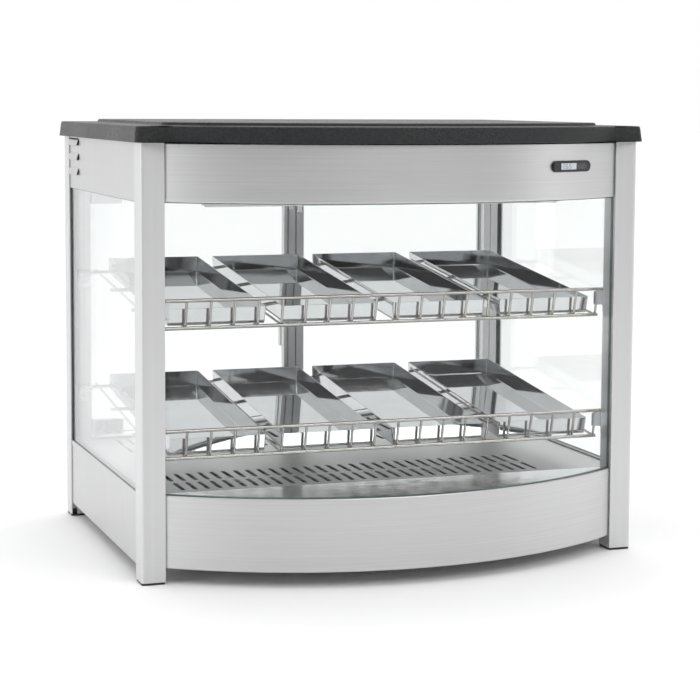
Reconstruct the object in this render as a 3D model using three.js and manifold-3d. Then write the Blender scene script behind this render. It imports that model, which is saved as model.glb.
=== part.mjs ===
// Countertop heated display cabinet: curved glass front, two glass doors behind, two sloping
// wire shelves with four pans each, and a heated base under a slotted floor.
// Millimetres, +Z up, front towards -Y, +X to the right of a person who stands in front.
import * as THREE from 'three';
import { mergeVertices } from 'three/addons/utils/BufferGeometryUtils.js';
import Module from 'manifold-3d';

const wasm = await Module();
wasm.setup();

// ---- Driving dimensions ----
const WIDTH = 690; // over the posts
const DEPTH = 482; // over the posts
const POST_X = 31.5; // post section, across
const POST_Y = 33; // post section, front to back
const GAP = 0.3; // between pieces that touch
const FOOT_HEIGHT = 2.7;
const BASE_BOTTOM = 20;
const BASE_TOP = 114.5;
const FLOOR_TOP = 112;
const FASCIA_BOTTOM = 487;
const LID_UNDER = 562;
const LID_BAND = 21;
const LID_PLATFORM = 4;
const LID_OVERHANG = 7;
const FRONT_BULGE = 97; // how far the curved front stands out from the post faces
const FRONT_RECESS = 3; // the curved panels start this far behind the post faces
const SHEET = 1.2;
const CEILING_BOTTOM = 490;

const SHELF_TILT = THREE.MathUtils.degToRad(6.4);
const FENCE_LEAN = THREE.MathUtils.degToRad(14.3);
const SHELF_HEIGHTS = { upper: 322.6, lower: 153.6 };
const FENCE_Y = -195;
const FENCE_HEIGHT = 37.5;
const SHELF_LENGTH = 398;
const SHELF_HALF = 308;
const SHELF_WIRES = 20;
const WIRE_R = 1.5;
const ROD_R = 2.2;

const PAN_PITCH = 155;
const PAN_WIDTH = 134;
const PAN_LENGTH = 350;
const PAN_HEIGHT = 23;
const PAN_WALL = 0.9;
const PAN_DRAFT = 1.6;
const PAN_FRONT = 4; // clearance behind the fence

const SLOT_COLUMNS = 31;
const SLOT_PITCH = 16.64;
const SLOT_LAST_X = 220.4;
const SLOT_WIDTH = 6.5;
const SLOT_ROWS = [-199, -137, 90, 152]; // front end of each row
const SLOT_LENGTH = 51;

const DOOR_PLANE = 227.5; // middle of the door glass
const DOOR_THICKNESS = 5;
const PIVOT_X = 301;
const REAR_PANEL = 216; // inner face of the recessed rear base panel
const CONTROL_Z = 66;

// ---- Values that follow from them ----
const SIDE_X = WIDTH / 2;
const POST_FACE = DEPTH / 2;
const INNER_X = SIDE_X - POST_X;
const INNER_Y = POST_FACE - POST_Y;
const FRONT_HALF = INNER_X - 0.5;
const FRONT_MID = -(POST_FACE + FRONT_BULGE);
const SAGITTA = FRONT_BULGE + FRONT_RECESS;
const FRONT_R = (FRONT_HALF ** 2 + SAGITTA ** 2) / (2 * SAGITTA);
const FRONT_CENTRE = FRONT_MID + FRONT_R;
const LID_X = SIDE_X + LID_OVERHANG;
const LID_BACK = POST_FACE + LID_OVERHANG;
const LID_FLAT = -(POST_FACE + LID_OVERHANG);
const LID_SAGITTA = FRONT_BULGE + 1;
const LID_R = (INNER_X ** 2 + LID_SAGITTA ** 2) / (2 * LID_SAGITTA);
const LID_CENTRE = LID_FLAT - LID_SAGITTA + LID_R;
const CENTRE_Y = (LID_FLAT - LID_SAGITTA + LID_BACK) / 2;

// ---- Finishes ----
const FINISHES = {
  anodised: { color: 0xc9cbcd, roughness: 0.42, metalness: 0.85 },
  brushed: { color: 0xb9babb, roughness: 0.34, metalness: 0.95 },
  polished: { color: 0xc4c6c8, roughness: 0.12, metalness: 1 },
  mirror: { color: 0xcfd1d3, roughness: 0.06, metalness: 1 },
  wire: { color: 0xa9abac, roughness: 0.2, metalness: 1 },
  lid: { color: 0x1c1d1f, roughness: 0.55, metalness: 0 },
  black: { color: 0x141415, roughness: 0.5, metalness: 0 },
  lcd: { color: 0xb9bcc6, roughness: 0.2, metalness: 0 },
  element: { color: 0x4b4845, roughness: 0.5, metalness: 0.8 },
  lamp: { color: 0xf2efe6, roughness: 0.3, metalness: 0.1 },
  glass: { color: 0xdfe9e8, roughness: 0.03, metalness: 0, transparent: true, opacity: 0.25 },
};

const cabinet = new THREE.Group();
const frame = new THREE.Group();
frame.position.y = -CENTRE_Y;
cabinet.add(frame);

function add(name, geometry, finish, parent = frame) {
  const mesh = new THREE.Mesh(geometry, new THREE.MeshStandardMaterial(FINISHES[finish]));
  mesh.name = name;
  parent.add(mesh);
  return mesh;
}

// ---- Solids: joining and cutting ----
function solidOf(geometry) {
  const bare = geometry.index ? geometry.toNonIndexed() : geometry.clone();
  bare.deleteAttribute('normal');
  bare.deleteAttribute('uv');
  const merged = mergeVertices(bare, 1e-4);
  return new wasm.Manifold(new wasm.Mesh({
    numProp: 3,
    vertProperties: new Float32Array(merged.attributes.position.array),
    triVerts: new Uint32Array(merged.index.array),
  }));
}

function geometryOf(solid) {
  const mesh = solid.getMesh();
  const geometry = new THREE.BufferGeometry();
  geometry.setAttribute('position', new THREE.BufferAttribute(new Float32Array(mesh.vertProperties), 3));
  geometry.setIndex(new THREE.BufferAttribute(new Uint32Array(mesh.triVerts), 1));
  return geometry;
}

function join(geometries) {
  const [first, ...rest] = geometries.map(solidOf);
  return geometryOf(rest.reduce((sum, solid) => sum.add(solid), first));
}

function cut(body, tools) {
  return geometryOf(tools.map(solidOf).reduce((left, solid) => left.subtract(solid), solidOf(body)));
}

// ---- Simple shapes ----
function block(xa, xb, ya, yb, za, zb) {
  const geometry = new THREE.BoxGeometry(Math.abs(xb - xa), Math.abs(yb - ya), Math.abs(zb - za));
  return geometry.translate((xa + xb) / 2, (ya + yb) / 2, (za + zb) / 2);
}

function rod(from, to, radius, sides = 6) {
  const along = to.clone().sub(from);
  const geometry = new THREE.CylinderGeometry(radius, radius, along.length(), sides);
  const up = new THREE.Vector3(0, 1, 0);
  geometry.applyQuaternion(new THREE.Quaternion().setFromUnitVectors(up, along.normalize()));
  const middle = from.clone().add(to).multiplyScalar(0.5);
  return geometry.translate(middle.x, middle.y, middle.z);
}

function prism(shape, za, zb) {
  const settings = { depth: zb - za, bevelEnabled: false, curveSegments: 10 };
  const geometry = new THREE.ExtrudeGeometry(shape, settings);
  return geometry.translate(0, 0, za);
}

// A prism along +X from an outline drawn in Y and Z.
function barAlongX(points, xa, xb) {
  const shape = new THREE.Shape(points.map(([y, z]) => new THREE.Vector2(y, z)));
  const geometry = new THREE.ExtrudeGeometry(shape, { depth: xb - xa, bevelEnabled: false });
  const axes = new THREE.Matrix4().makeBasis(
    new THREE.Vector3(0, 1, 0), new THREE.Vector3(0, 0, 1), new THREE.Vector3(1, 0, 0));
  return geometry.applyMatrix4(axes).translate(xa, 0, 0);
}

// A prism along +Y from an outline drawn in X and Z.
function barAlongY(points, ya, yb) {
  const shape = new THREE.Shape(points.map(([x, z]) => new THREE.Vector2(x, z)));
  const geometry = new THREE.ExtrudeGeometry(shape, { depth: yb - ya, bevelEnabled: false });
  const axes = new THREE.Matrix4().makeBasis(
    new THREE.Vector3(1, 0, 0), new THREE.Vector3(0, 0, 1), new THREE.Vector3(0, -1, 0));
  return geometry.applyMatrix4(axes).translate(0, yb, 0);
}

function arcPoints(cx, cy, radius, from, to, steps) {
  const points = [];
  for (let i = 0; i <= steps; i += 1) {
    const angle = THREE.MathUtils.degToRad(from + ((to - from) * i) / steps);
    points.push([cx + radius * Math.cos(angle), cy + radius * Math.sin(angle)]);
  }
  return points;
}

// A curved wall between the front posts, concentric with the cabinet's front.
function frontBand(outerR, innerR, za, zb) {
  const shape = new THREE.Shape();
  const outer = Math.asin(FRONT_HALF / outerR);
  const inner = Math.asin(FRONT_HALF / innerR);
  const ahead = -Math.PI / 2;
  shape.absarc(0, FRONT_CENTRE, outerR, ahead - outer, ahead + outer, false);
  shape.absarc(0, FRONT_CENTRE, innerR, ahead + inner, ahead - inner, true);
  return prism(shape, za, zb);
}

// ---- Posts: hollow extrusion with a glass groove and a shallow decorative groove ----
const GROOVE = { from: 1.8, to: 9, depth: 9 };
const POST_CORNER = 4;
const POST_EDGE = 0.8;
const POST_WALL = 2;
const POST_BACK_WALL = 3;
const TRIM = { from: 20.5, to: 23, depth: 1 }; // a shadow line beside the groove
const FOOT_INSET = 0.3;
const PLUG_INSET = 2.6;
const PLUG_HEIGHT = 10;

function postSection(side, end) {
  const place = ([u, v]) => new THREE.Vector2(side * (SIDE_X - u), end * (POST_FACE - v));
  const outline = [
    ...arcPoints(POST_CORNER, POST_CORNER, POST_CORNER, 180, 270, 5),
    [POST_X - POST_EDGE, 0], [POST_X, POST_EDGE],
    [POST_X, POST_Y - POST_EDGE], [POST_X - POST_EDGE, POST_Y],
    [TRIM.to, POST_Y], [TRIM.to, POST_Y - TRIM.depth],
    [TRIM.from, POST_Y - TRIM.depth], [TRIM.from, POST_Y],
    [GROOVE.to, POST_Y], [GROOVE.to, POST_Y - GROOVE.depth],
    [GROOVE.from, POST_Y - GROOVE.depth], [GROOVE.from, POST_Y],
    [0.5, POST_Y], [0, POST_Y - 0.5],
  ];
  const hollow = [
    [GROOVE.from, POST_WALL], [POST_X - POST_WALL, POST_WALL],
    [POST_X - POST_WALL, POST_Y - POST_BACK_WALL], [GROOVE.to + POST_WALL, POST_Y - POST_BACK_WALL],
    [GROOVE.to + POST_WALL, POST_Y - GROOVE.depth - POST_WALL],
    [GROOVE.from, POST_Y - GROOVE.depth - POST_WALL],
  ];
  // A mirrored outline runs the other way round, so it is turned back.
  const ordered = (points) => (side * end > 0 ? points : points.reverse()).map(place);
  const shape = new THREE.Shape(ordered(outline));
  shape.holes.push(new THREE.Path(ordered(hollow)));
  return shape;
}

function footCap(side, end) {
  const sole = block(side * (SIDE_X - FOOT_INSET), side * (INNER_X + FOOT_INSET),
    end * (POST_FACE - FOOT_INSET), end * (INNER_Y + FOOT_INSET), 0, FOOT_HEIGHT);
  const plug = block(side * (SIDE_X - GROOVE.to - PLUG_INSET), side * (INNER_X + PLUG_INSET),
    end * (POST_FACE - PLUG_INSET), end * (INNER_Y + PLUG_INSET + 1), FOOT_HEIGHT - 1,
    FOOT_HEIGHT + PLUG_HEIGHT);
  return join([sole, plug]);
}

const CORNERS = [
  ['front_left', -1, -1], ['front_right', 1, -1], ['rear_left', -1, 1], ['rear_right', 1, 1],
];
for (const [corner, side, end] of CORNERS) {
  const post = prism(postSection(side, end), FOOT_HEIGHT + GAP, LID_UNDER - GAP);
  add(`post_${corner}`, post, 'anodised');
  add(`foot_${corner}`, footCap(side, end), 'black');
}

// ---- Rear mullion between the doors ----
const MULLION_BACK = 222;
const MULLION_HALF = 15.75;
const MULLION_FACE = INNER_Y + 0.5;
const MULLION_GROOVES = [[-10.8, -8.6], [1.5, 4]]; // from, to
const MULLION_GROOVE_BED = INNER_Y + 1.8;
const MULLION_HOLLOW = { half: 13.5, from: 212.5, to: 219.8 };
const mullionOutline = [
  [-MULLION_HALF, MULLION_BACK], [-MULLION_HALF, MULLION_FACE],
  ...MULLION_GROOVES.flatMap(([from, to]) => [
    [from, MULLION_FACE], [from, MULLION_GROOVE_BED], [to, MULLION_GROOVE_BED], [to, MULLION_FACE],
  ]),
  [MULLION_HALF, MULLION_FACE], [MULLION_HALF, MULLION_BACK],
];
const mullionShape = new THREE.Shape(mullionOutline.map(([x, y]) => new THREE.Vector2(x, y)));
const mullionHollow = [
  [-MULLION_HOLLOW.half, MULLION_HOLLOW.from], [-MULLION_HOLLOW.half, MULLION_HOLLOW.to],
  [MULLION_HOLLOW.half, MULLION_HOLLOW.to], [MULLION_HOLLOW.half, MULLION_HOLLOW.from],
];
mullionShape.holes.push(new THREE.Path(mullionHollow.map(([x, y]) => new THREE.Vector2(x, y))));
add('rear_mullion', prism(mullionShape, BASE_TOP + GAP, FASCIA_BOTTOM - GAP), 'anodised');

// ---- Lid: a moulded shell with a skirt, drafted sides and a raised platform ----
const LID_WALL = 3;
const LID_CORNER = 9;
const LID_DRAFT = 2;
const PLATFORM_INSET = 46;
const PLATFORM_CORNER = 16;

function lidOutline(inset, corner) {
  const x = LID_X - inset;
  const back = LID_BACK - inset;
  const flat = LID_FLAT + inset;
  const radius = LID_R - inset;
  let reach = THREE.MathUtils.radToDeg(Math.acos((LID_CENTRE - flat) / radius));
  let turn = 90;
  let cornerY = flat + corner;
  if (radius * Math.sin(THREE.MathUtils.degToRad(reach)) > x - corner) {
    // So far in there are no flats left, and the corners run straight into the bow.
    reach = THREE.MathUtils.radToDeg(Math.asin((x - corner) / (radius - corner)));
    turn = 90 - reach;
    cornerY = LID_CENTRE - Math.sqrt((radius - corner) ** 2 - (x - corner) ** 2);
  }
  const outline = [
    ...arcPoints(x - corner, back - corner, corner, 0, 90, 4),
    ...arcPoints(-x + corner, back - corner, corner, 90, 180, 4),
    ...arcPoints(-x + corner, cornerY, corner, 180, 180 + turn, 4),
    ...arcPoints(0, LID_CENTRE, radius, -90 - reach, -90 + reach, 16),
    ...arcPoints(x - corner, cornerY, corner, -turn, 0, 4),
  ];
  return new THREE.Shape(outline.map(([px, py]) => new THREE.Vector2(px, py)));
}

function drafted(geometry, top) {
  const position = geometry.attributes.position;
  const middle = (LID_FLAT - LID_SAGITTA + LID_BACK) / 2;
  const scaleX = (LID_X - LID_DRAFT) / LID_X;
  const scaleY = (LID_BACK - middle - LID_DRAFT) / (LID_BACK - middle);
  for (let i = 0; i < position.count; i += 1) {
    if (position.getZ(i) > top - 0.01) {
      position.setX(i, position.getX(i) * scaleX);
      position.setY(i, middle + (position.getY(i) - middle) * scaleY);
    }
  }
  return geometry;
}

const LID_TOP = LID_UNDER + LID_BAND;
const lidBody = drafted(prism(lidOutline(0, LID_CORNER), LID_UNDER, LID_TOP), LID_TOP);
const lidInside = prism(lidOutline(LID_WALL + LID_DRAFT, LID_CORNER - LID_WALL), LID_UNDER - 1,
  LID_TOP - LID_WALL);
const lidPlatform = prism(lidOutline(PLATFORM_INSET, PLATFORM_CORNER), LID_TOP - 1, LID_TOP + LID_PLATFORM);
add('lid', join([cut(lidBody, [lidInside]), lidPlatform]), 'lid');

// ---- Upper fascia: curved front, louvred sides, plain rear with the door pivots ----
const THERMOMETER_X = 223;
const THERMOMETER_Z = 531;
const thermometerTurn = Math.asin(THERMOMETER_X / FRONT_R);
const thermometerY = FRONT_CENTRE - FRONT_R * Math.cos(thermometerTurn);

// Moves a piece that is drawn round the origin, facing -Y, on to the curved front.
function onFascia(geometry) {
  return geometry.rotateZ(thermometerTurn).translate(THERMOMETER_X, thermometerY, THERMOMETER_Z);
}

const FLANGE = 12;
const fasciaFront = join([
  frontBand(FRONT_R, FRONT_R - SHEET, FASCIA_BOTTOM, LID_UNDER - GAP),
  frontBand(FRONT_R, FRONT_R - FLANGE, FASCIA_BOTTOM, FASCIA_BOTTOM + SHEET),
  frontBand(FRONT_R, FRONT_R - FLANGE, LID_UNDER - GAP - SHEET, LID_UNDER - GAP),
]);
const CUTOUT = { half: 23.5, reach: 8, rise: 6.2 }; // the thermometer's opening
const cutout = block(-CUTOUT.half, CUTOUT.half, -CUTOUT.reach, CUTOUT.reach, -CUTOUT.rise, CUTOUT.rise);
add('fascia_front', cut(fasciaFront, [onFascia(cutout)]), 'brushed');

const LOUVRES = [549.5, 528.5, 507.5]; // lower edge of each
const LOUVRE_HEIGHT = 11;
const LOUVRE_PROUD = 5.8;
const LOUVRE_FROM = 144;
const LOUVRE_TO = 204;
const SIDE_SHEET = 343; // outer face of the side sheets
const SHEET_END = 216.5; // both ends of the side sheets and side panes
const FLANGE_END = 207.5; // both ends of their flanges, clear of the posts

function fasciaSide(side) {
  const inner = SIDE_SHEET - 1;
  const panel = block(side * SIDE_SHEET, side * inner, -SHEET_END, SHEET_END, FASCIA_BOTTOM, LID_UNDER - GAP);
  const flange = block(side * SIDE_SHEET, side * (inner - FLANGE), -FLANGE_END, FLANGE_END,
    LID_UNDER - GAP - 1, LID_UNDER - GAP);
  const windows = LOUVRES.map((z) => block(side * (SIDE_SHEET + 1), side * (inner - 1), LOUVRE_FROM,
    LOUVRE_TO, z, z + LOUVRE_HEIGHT - 1.5));
  const hoods = LOUVRES.map((z) => barAlongY([
    [side * inner, z + LOUVRE_HEIGHT], [side * SIDE_SHEET, z + LOUVRE_HEIGHT],
    [side * (SIDE_SHEET + LOUVRE_PROUD), z], [side * (SIDE_SHEET + LOUVRE_PROUD - 1), z],
    [side * inner, z + LOUVRE_HEIGHT - 2],
  ], LOUVRE_FROM, LOUVRE_TO));
  return join([cut(join([panel, flange]), windows), ...hoods]);
}
add('fascia_left', fasciaSide(-1), 'brushed');
add('fascia_right', fasciaSide(1), 'brushed');

const PIN_HOLE_R = 3.3;
function pivotHoles(z) {
  return [-1, 1].map((side) => rod(new THREE.Vector3(side * PIVOT_X, DOOR_PLANE, z - 4),
    new THREE.Vector3(side * PIVOT_X, DOOR_PLANE, z + 4), PIN_HOLE_R, 16));
}

const FASCIA_REAR = 238;
const REAR_FLANGES = { lower: 209, upper: 224 }; // how far forward they reach
const fasciaRear = join([
  block(-FRONT_HALF, FRONT_HALF, FASCIA_REAR, FASCIA_REAR + SHEET, FASCIA_BOTTOM, LID_UNDER - GAP),
  block(-FRONT_HALF, FRONT_HALF, REAR_FLANGES.lower, FASCIA_REAR + SHEET, FASCIA_BOTTOM,
    FASCIA_BOTTOM + SHEET),
  block(-FRONT_HALF, FRONT_HALF, REAR_FLANGES.upper, FASCIA_REAR + SHEET, LID_UNDER - GAP - SHEET,
    LID_UNDER - GAP),
]);
add('fascia_rear', cut(fasciaRear, pivotHoles(FASCIA_BOTTOM)), 'brushed');

// ---- Thermometer: an oval bezel with a body through the fascia, and its window ----
const BEZEL_HALF = 37.5;
const BEZEL_R = 7.4;
const BEZEL_THICK = 3;
const BODY = { half: 22.5, depth: 16, rise: 5.6 };
const WINDOW_FROM = -23;
const WINDOW_TO = 28.5;
const WINDOW_HALF = 4.2;

function thermometerHousing() {
  const straight = BEZEL_HALF - BEZEL_R;
  const outline = [
    ...arcPoints(straight, 0, BEZEL_R, -90, 90, 8), ...arcPoints(-straight, 0, BEZEL_R, 90, 270, 8),
  ];
  const bezel = barAlongY(outline, -BEZEL_THICK - GAP, -GAP);
  const body = block(-BODY.half, BODY.half, -1, BODY.depth, -BODY.rise, BODY.rise);
  const recess = block(WINDOW_FROM - GAP, WINDOW_TO + GAP, -BEZEL_THICK - 1, -BEZEL_THICK + 0.9,
    -WINDOW_HALF - GAP, WINDOW_HALF + GAP);
  return cut(join([bezel, body]), [recess]);
}
add('thermometer_housing', onFascia(thermometerHousing()), 'black');
add('thermometer_window', onFascia(block(WINDOW_FROM, WINDOW_TO, -BEZEL_THICK - 0.1,
  -BEZEL_THICK + 0.6, -WINDOW_HALF, WINDOW_HALF)), 'lcd');

// ---- Decks: flat sheets that fit round the posts ----
function deck(frontPath, sideX, backY, za, zb) {
  const shape = new THREE.Shape();
  frontPath(shape);
  const edge = INNER_Y - 0.5;
  const corners = [
    [FRONT_HALF, -edge], [sideX, -edge], [sideX, edge], [FRONT_HALF, edge], [FRONT_HALF, backY],
    [-FRONT_HALF, backY], [-FRONT_HALF, edge], [-sideX, edge], [-sideX, -edge], [-FRONT_HALF, -edge],
  ];
  corners.forEach(([x, y]) => shape.lineTo(x, y));
  return prism(shape, za, zb);
}

function curvedFront(radius) {
  const reach = Math.asin(FRONT_HALF / radius);
  return (shape) => shape.absarc(0, FRONT_CENTRE, radius, -Math.PI / 2 - reach, -Math.PI / 2 + reach, false);
}

const DECK_SIDE = SIDE_SHEET - 2;
add('ceiling_panel', deck(curvedFront(FRONT_R - 2), DECK_SIDE, FASCIA_REAR - 1, CEILING_BOTTOM,
  CEILING_BOTTOM + 1), 'brushed');
add('base_bottom', deck(curvedFront(FRONT_R - 2), DECK_SIDE, REAR_PANEL - 0.5, BASE_BOTTOM + 1.6,
  BASE_BOTTOM + 1.6 + SHEET), 'brushed');

// ---- Slotted floor and the polished apron ahead of it ----
const FLOOR_FRONT = -213;
const FLOOR_SIDE = 335;

function slot(x, front) {
  const half = SLOT_WIDTH / 2;
  const back = front + SLOT_LENGTH;
  const outline = [
    [x - half, front + half], [x, front], [x + half, front + half],
    [x + half, back - half], [x, back], [x - half, back - half],
  ];
  const shape = new THREE.Shape(outline.map(([px, py]) => new THREE.Vector2(px, py)));
  return shape;
}

function floorPlate() {
  const shape = new THREE.Shape();
  const edge = INNER_Y - 0.5;
  const outline = [
    [-FRONT_HALF, FLOOR_FRONT], [FRONT_HALF, FLOOR_FRONT], [FRONT_HALF, -edge], [FLOOR_SIDE, -edge],
    [FLOOR_SIDE, edge], [FRONT_HALF, edge], [FRONT_HALF, REAR_PANEL - 1], [-FRONT_HALF, REAR_PANEL - 1],
    [-FRONT_HALF, edge], [-FLOOR_SIDE, edge], [-FLOOR_SIDE, -edge], [-FRONT_HALF, -edge],
  ];
  shape.setFromPoints(outline.map(([x, y]) => new THREE.Vector2(x, y)));
  for (const row of SLOT_ROWS) {
    for (let column = 0; column < SLOT_COLUMNS; column += 1) {
      shape.holes.push(slot(SLOT_LAST_X - SLOT_PITCH * column, row));
    }
  }
  return prism(shape, FLOOR_TOP - SHEET, FLOOR_TOP);
}
add('floor_plate', floorPlate(), 'brushed');

const APRON_SETBACK = 9;
function apron() {
  const radius = FRONT_R - APRON_SETBACK;
  const shape = new THREE.Shape();
  curvedFront(radius)(shape);
  shape.lineTo(FRONT_HALF, FLOOR_FRONT - 0.5);
  shape.lineTo(-FRONT_HALF, FLOOR_FRONT - 0.5);
  return prism(shape, FLOOR_TOP - SHEET, FLOOR_TOP);
}
add('front_apron', apron(), 'polished');

// ---- Base panels ----
const FRONT_LEDGE = 8.5;
const SIDE_LEDGE = { width: 9, drop: 6 };
add('base_front', join([
  frontBand(FRONT_R, FRONT_R - SHEET, BASE_BOTTOM, BASE_TOP),
  frontBand(FRONT_R, FRONT_R - FRONT_LEDGE, BASE_TOP - SHEET, BASE_TOP),
  frontBand(FRONT_R, FRONT_R - FLANGE, BASE_BOTTOM, BASE_BOTTOM + SHEET),
]), 'brushed');

function baseSide(side) {
  const inner = SIDE_SHEET - 1;
  return join([
    block(side * SIDE_SHEET, side * inner, -SHEET_END, SHEET_END, BASE_BOTTOM, BASE_TOP),
    block(side * (SIDE_SHEET + 1), side * (SIDE_SHEET - SIDE_LEDGE.width), -FLANGE_END, FLANGE_END,
      BASE_TOP - SHEET, BASE_TOP),
    block(side * (SIDE_SHEET + 1), side * inner, -FLANGE_END, FLANGE_END, BASE_TOP - SIDE_LEDGE.drop,
      BASE_TOP),
    block(side * SIDE_SHEET, side * (inner - FLANGE), -FLANGE_END, FLANGE_END, BASE_BOTTOM,
      BASE_BOTTOM + SHEET),
  ]);
}
add('base_left', baseSide(-1), 'brushed');
add('base_right', baseSide(1), 'brushed');

const KNOB_X = 205;
const SWITCH_X = 135;
const GLAND_X = -250;
const GLAND_Z = 56;
const REAR_OUTER = REAR_PANEL + SHEET;
const REAR_TURN_IN = 1.5; // the rear sheet's flanges stop this far inside the post faces
const VENTS = { count: 9, first: -130, pitch: 20, width: 4, from: 46, to: 86 };
const SHAFT_HOLE_R = 4;
const GLAND_HOLE_R = 10;
const SWITCH_HOLE = { x: 20, z: 13 };
const THROUGH = 2; // how far a cutter runs past what it cuts

function alongY(x, z, ya, yb, radius, sides) {
  return rod(new THREE.Vector3(x, ya, z), new THREE.Vector3(x, yb, z), radius, sides);
}

function baseRear() {
  const sheet = join([
    block(-FRONT_HALF, FRONT_HALF, REAR_PANEL, REAR_OUTER, BASE_BOTTOM, BASE_TOP),
    block(-FRONT_HALF, FRONT_HALF, REAR_PANEL, POST_FACE - REAR_TURN_IN, BASE_TOP - SHEET, BASE_TOP),
    block(-FRONT_HALF, FRONT_HALF, REAR_PANEL, POST_FACE - REAR_TURN_IN, BASE_BOTTOM, BASE_BOTTOM + SHEET),
  ]);
  const vents = [];
  for (let i = 0; i < VENTS.count; i += 1) {
    const x = VENTS.first + i * VENTS.pitch;
    vents.push(block(x, x + VENTS.width, REAR_PANEL - THROUGH, REAR_OUTER + THROUGH, VENTS.from, VENTS.to));
  }
  const controls = [
    alongY(KNOB_X, CONTROL_Z, REAR_PANEL - THROUGH, REAR_OUTER + THROUGH, SHAFT_HOLE_R, 16),
    alongY(GLAND_X, GLAND_Z, REAR_PANEL - THROUGH, REAR_OUTER + THROUGH, GLAND_HOLE_R, 20),
    block(SWITCH_X - SWITCH_HOLE.x, SWITCH_X + SWITCH_HOLE.x, REAR_PANEL - THROUGH, REAR_OUTER + THROUGH,
      CONTROL_Z - SWITCH_HOLE.z, CONTROL_Z + SWITCH_HOLE.z),
  ];
  return cut(sheet, [...vents, ...controls, ...pivotHoles(BASE_TOP)]);
}
add('base_rear', baseRear(), 'brushed');

// ---- Glass ----
const FRONT_PANE = { outer: 2.5, inner: 7.5 }; // behind the face of the curved panels
const SIDE_PANE = { outer: 341.5, inner: 337.5 };
add('front_glass', frontBand(FRONT_R - FRONT_PANE.outer, FRONT_R - FRONT_PANE.inner, BASE_TOP + GAP,
  FASCIA_BOTTOM - GAP), 'glass');
for (const [hand, side] of [['left', -1], ['right', 1]]) {
  add(`side_glass_${hand}`, block(side * SIDE_PANE.outer, side * SIDE_PANE.inner, -SHEET_END, SHEET_END,
    BASE_TOP + GAP, FASCIA_BOTTOM - GAP), 'glass');
}

// ---- Rear doors: frameless glass with pivot clamps and edge pulls ----
const DOOR_BOTTOM = 120;
const DOOR_TOP = 482;
const CLAMP_OUTER = 309;
const CLAMP_INNER = 263;
const CLAMP_HALF = 6.8;
const CLAMP_HEIGHT = 22.5;
const CLAMP_LIP = 2.5; // how far a clamp reaches past the edge of the glass
const PIN_R = 3;
const PIN_REACH = 4.6;
const PULL = {
  inner: 2.4, outer: 15, wall: 2.2, lip: 6.4, sheet: 1.8, depth: 12, from: 240, to: 370,
};
const DOOR_OUTER = 312.3;
const DOOR_MEETING = 1.5;

function doorClamp(side, glassEdge, out) {
  const outerZ = glassEdge + out * CLAMP_LIP;
  const innerZ = outerZ - out * CLAMP_HEIGHT;
  const body = block(side * CLAMP_OUTER, side * CLAMP_INNER, DOOR_PLANE - CLAMP_HALF,
    DOOR_PLANE + CLAMP_HALF, outerZ, innerZ);
  const slotHalf = DOOR_THICKNESS / 2 + GAP;
  const glassSlot = block(side * (CLAMP_OUTER + THROUGH), side * (CLAMP_INNER - THROUGH),
    DOOR_PLANE - slotHalf, DOOR_PLANE + slotHalf, glassEdge + out * GAP, innerZ - out * THROUGH);
  const pin = rod(new THREE.Vector3(side * PIVOT_X, DOOR_PLANE, outerZ - out),
    new THREE.Vector3(side * PIVOT_X, DOOR_PLANE, outerZ + out * PIN_REACH), PIN_R, 16);
  return join([cut(body, [glassSlot]), pin]);
}

function doorPull(side) {
  const back = DOOR_PLANE + DOOR_THICKNESS / 2 + GAP;
  return join([
    block(side * PULL.inner, side * PULL.outer, back, back + PULL.sheet, PULL.from, PULL.to),
    block(side * (PULL.outer - PULL.wall), side * PULL.outer, back, back + PULL.depth, PULL.from, PULL.to),
    block(side * (PULL.outer - PULL.lip), side * PULL.outer, back + PULL.depth - PULL.sheet,
      back + PULL.depth, PULL.from, PULL.to),
  ]);
}

for (const [hand, side] of [['left', -1], ['right', 1]]) {
  add(`door_glass_${hand}`, block(side * DOOR_OUTER, side * DOOR_MEETING, DOOR_PLANE - DOOR_THICKNESS / 2,
    DOOR_PLANE + DOOR_THICKNESS / 2, DOOR_BOTTOM, DOOR_TOP), 'glass');
  add(`door_clamp_lower_${hand}`, doorClamp(side, DOOR_BOTTOM, -1), 'polished');
  add(`door_clamp_upper_${hand}`, doorClamp(side, DOOR_TOP, 1), 'polished');
  add(`door_pull_${hand}`, doorPull(side), 'anodised');
}

// ---- Wire shelves: front-to-back wires that turn up into a fence, on cross rods ----
const SLOPE = new THREE.Vector3(0, Math.cos(SHELF_TILT), Math.sin(SHELF_TILT));
const LIFT = new THREE.Vector3(0, -Math.sin(SHELF_TILT), Math.cos(SHELF_TILT));
const FENCE = new THREE.Vector3(0, -Math.sin(FENCE_LEAN), Math.cos(FENCE_LEAN));
const WELD = WIRE_R + ROD_R - 0.6;
const CROSS_RODS = [130, 262];
const REAR_ROD = 392;
const REAR_ROD_HALF = 332;
const TOP_ROD_HALF = 322;
const HOOK_DROP = 15;

function onShelf(z, x, along, lift) {
  return new THREE.Vector3(x, FENCE_Y, z).addScaledVector(SLOPE, along).addScaledVector(LIFT, lift);
}

function crossRod(z, along, half) {
  return rod(onShelf(z, -half, along, -WELD), onShelf(z, half, along, -WELD), ROD_R);
}

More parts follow.
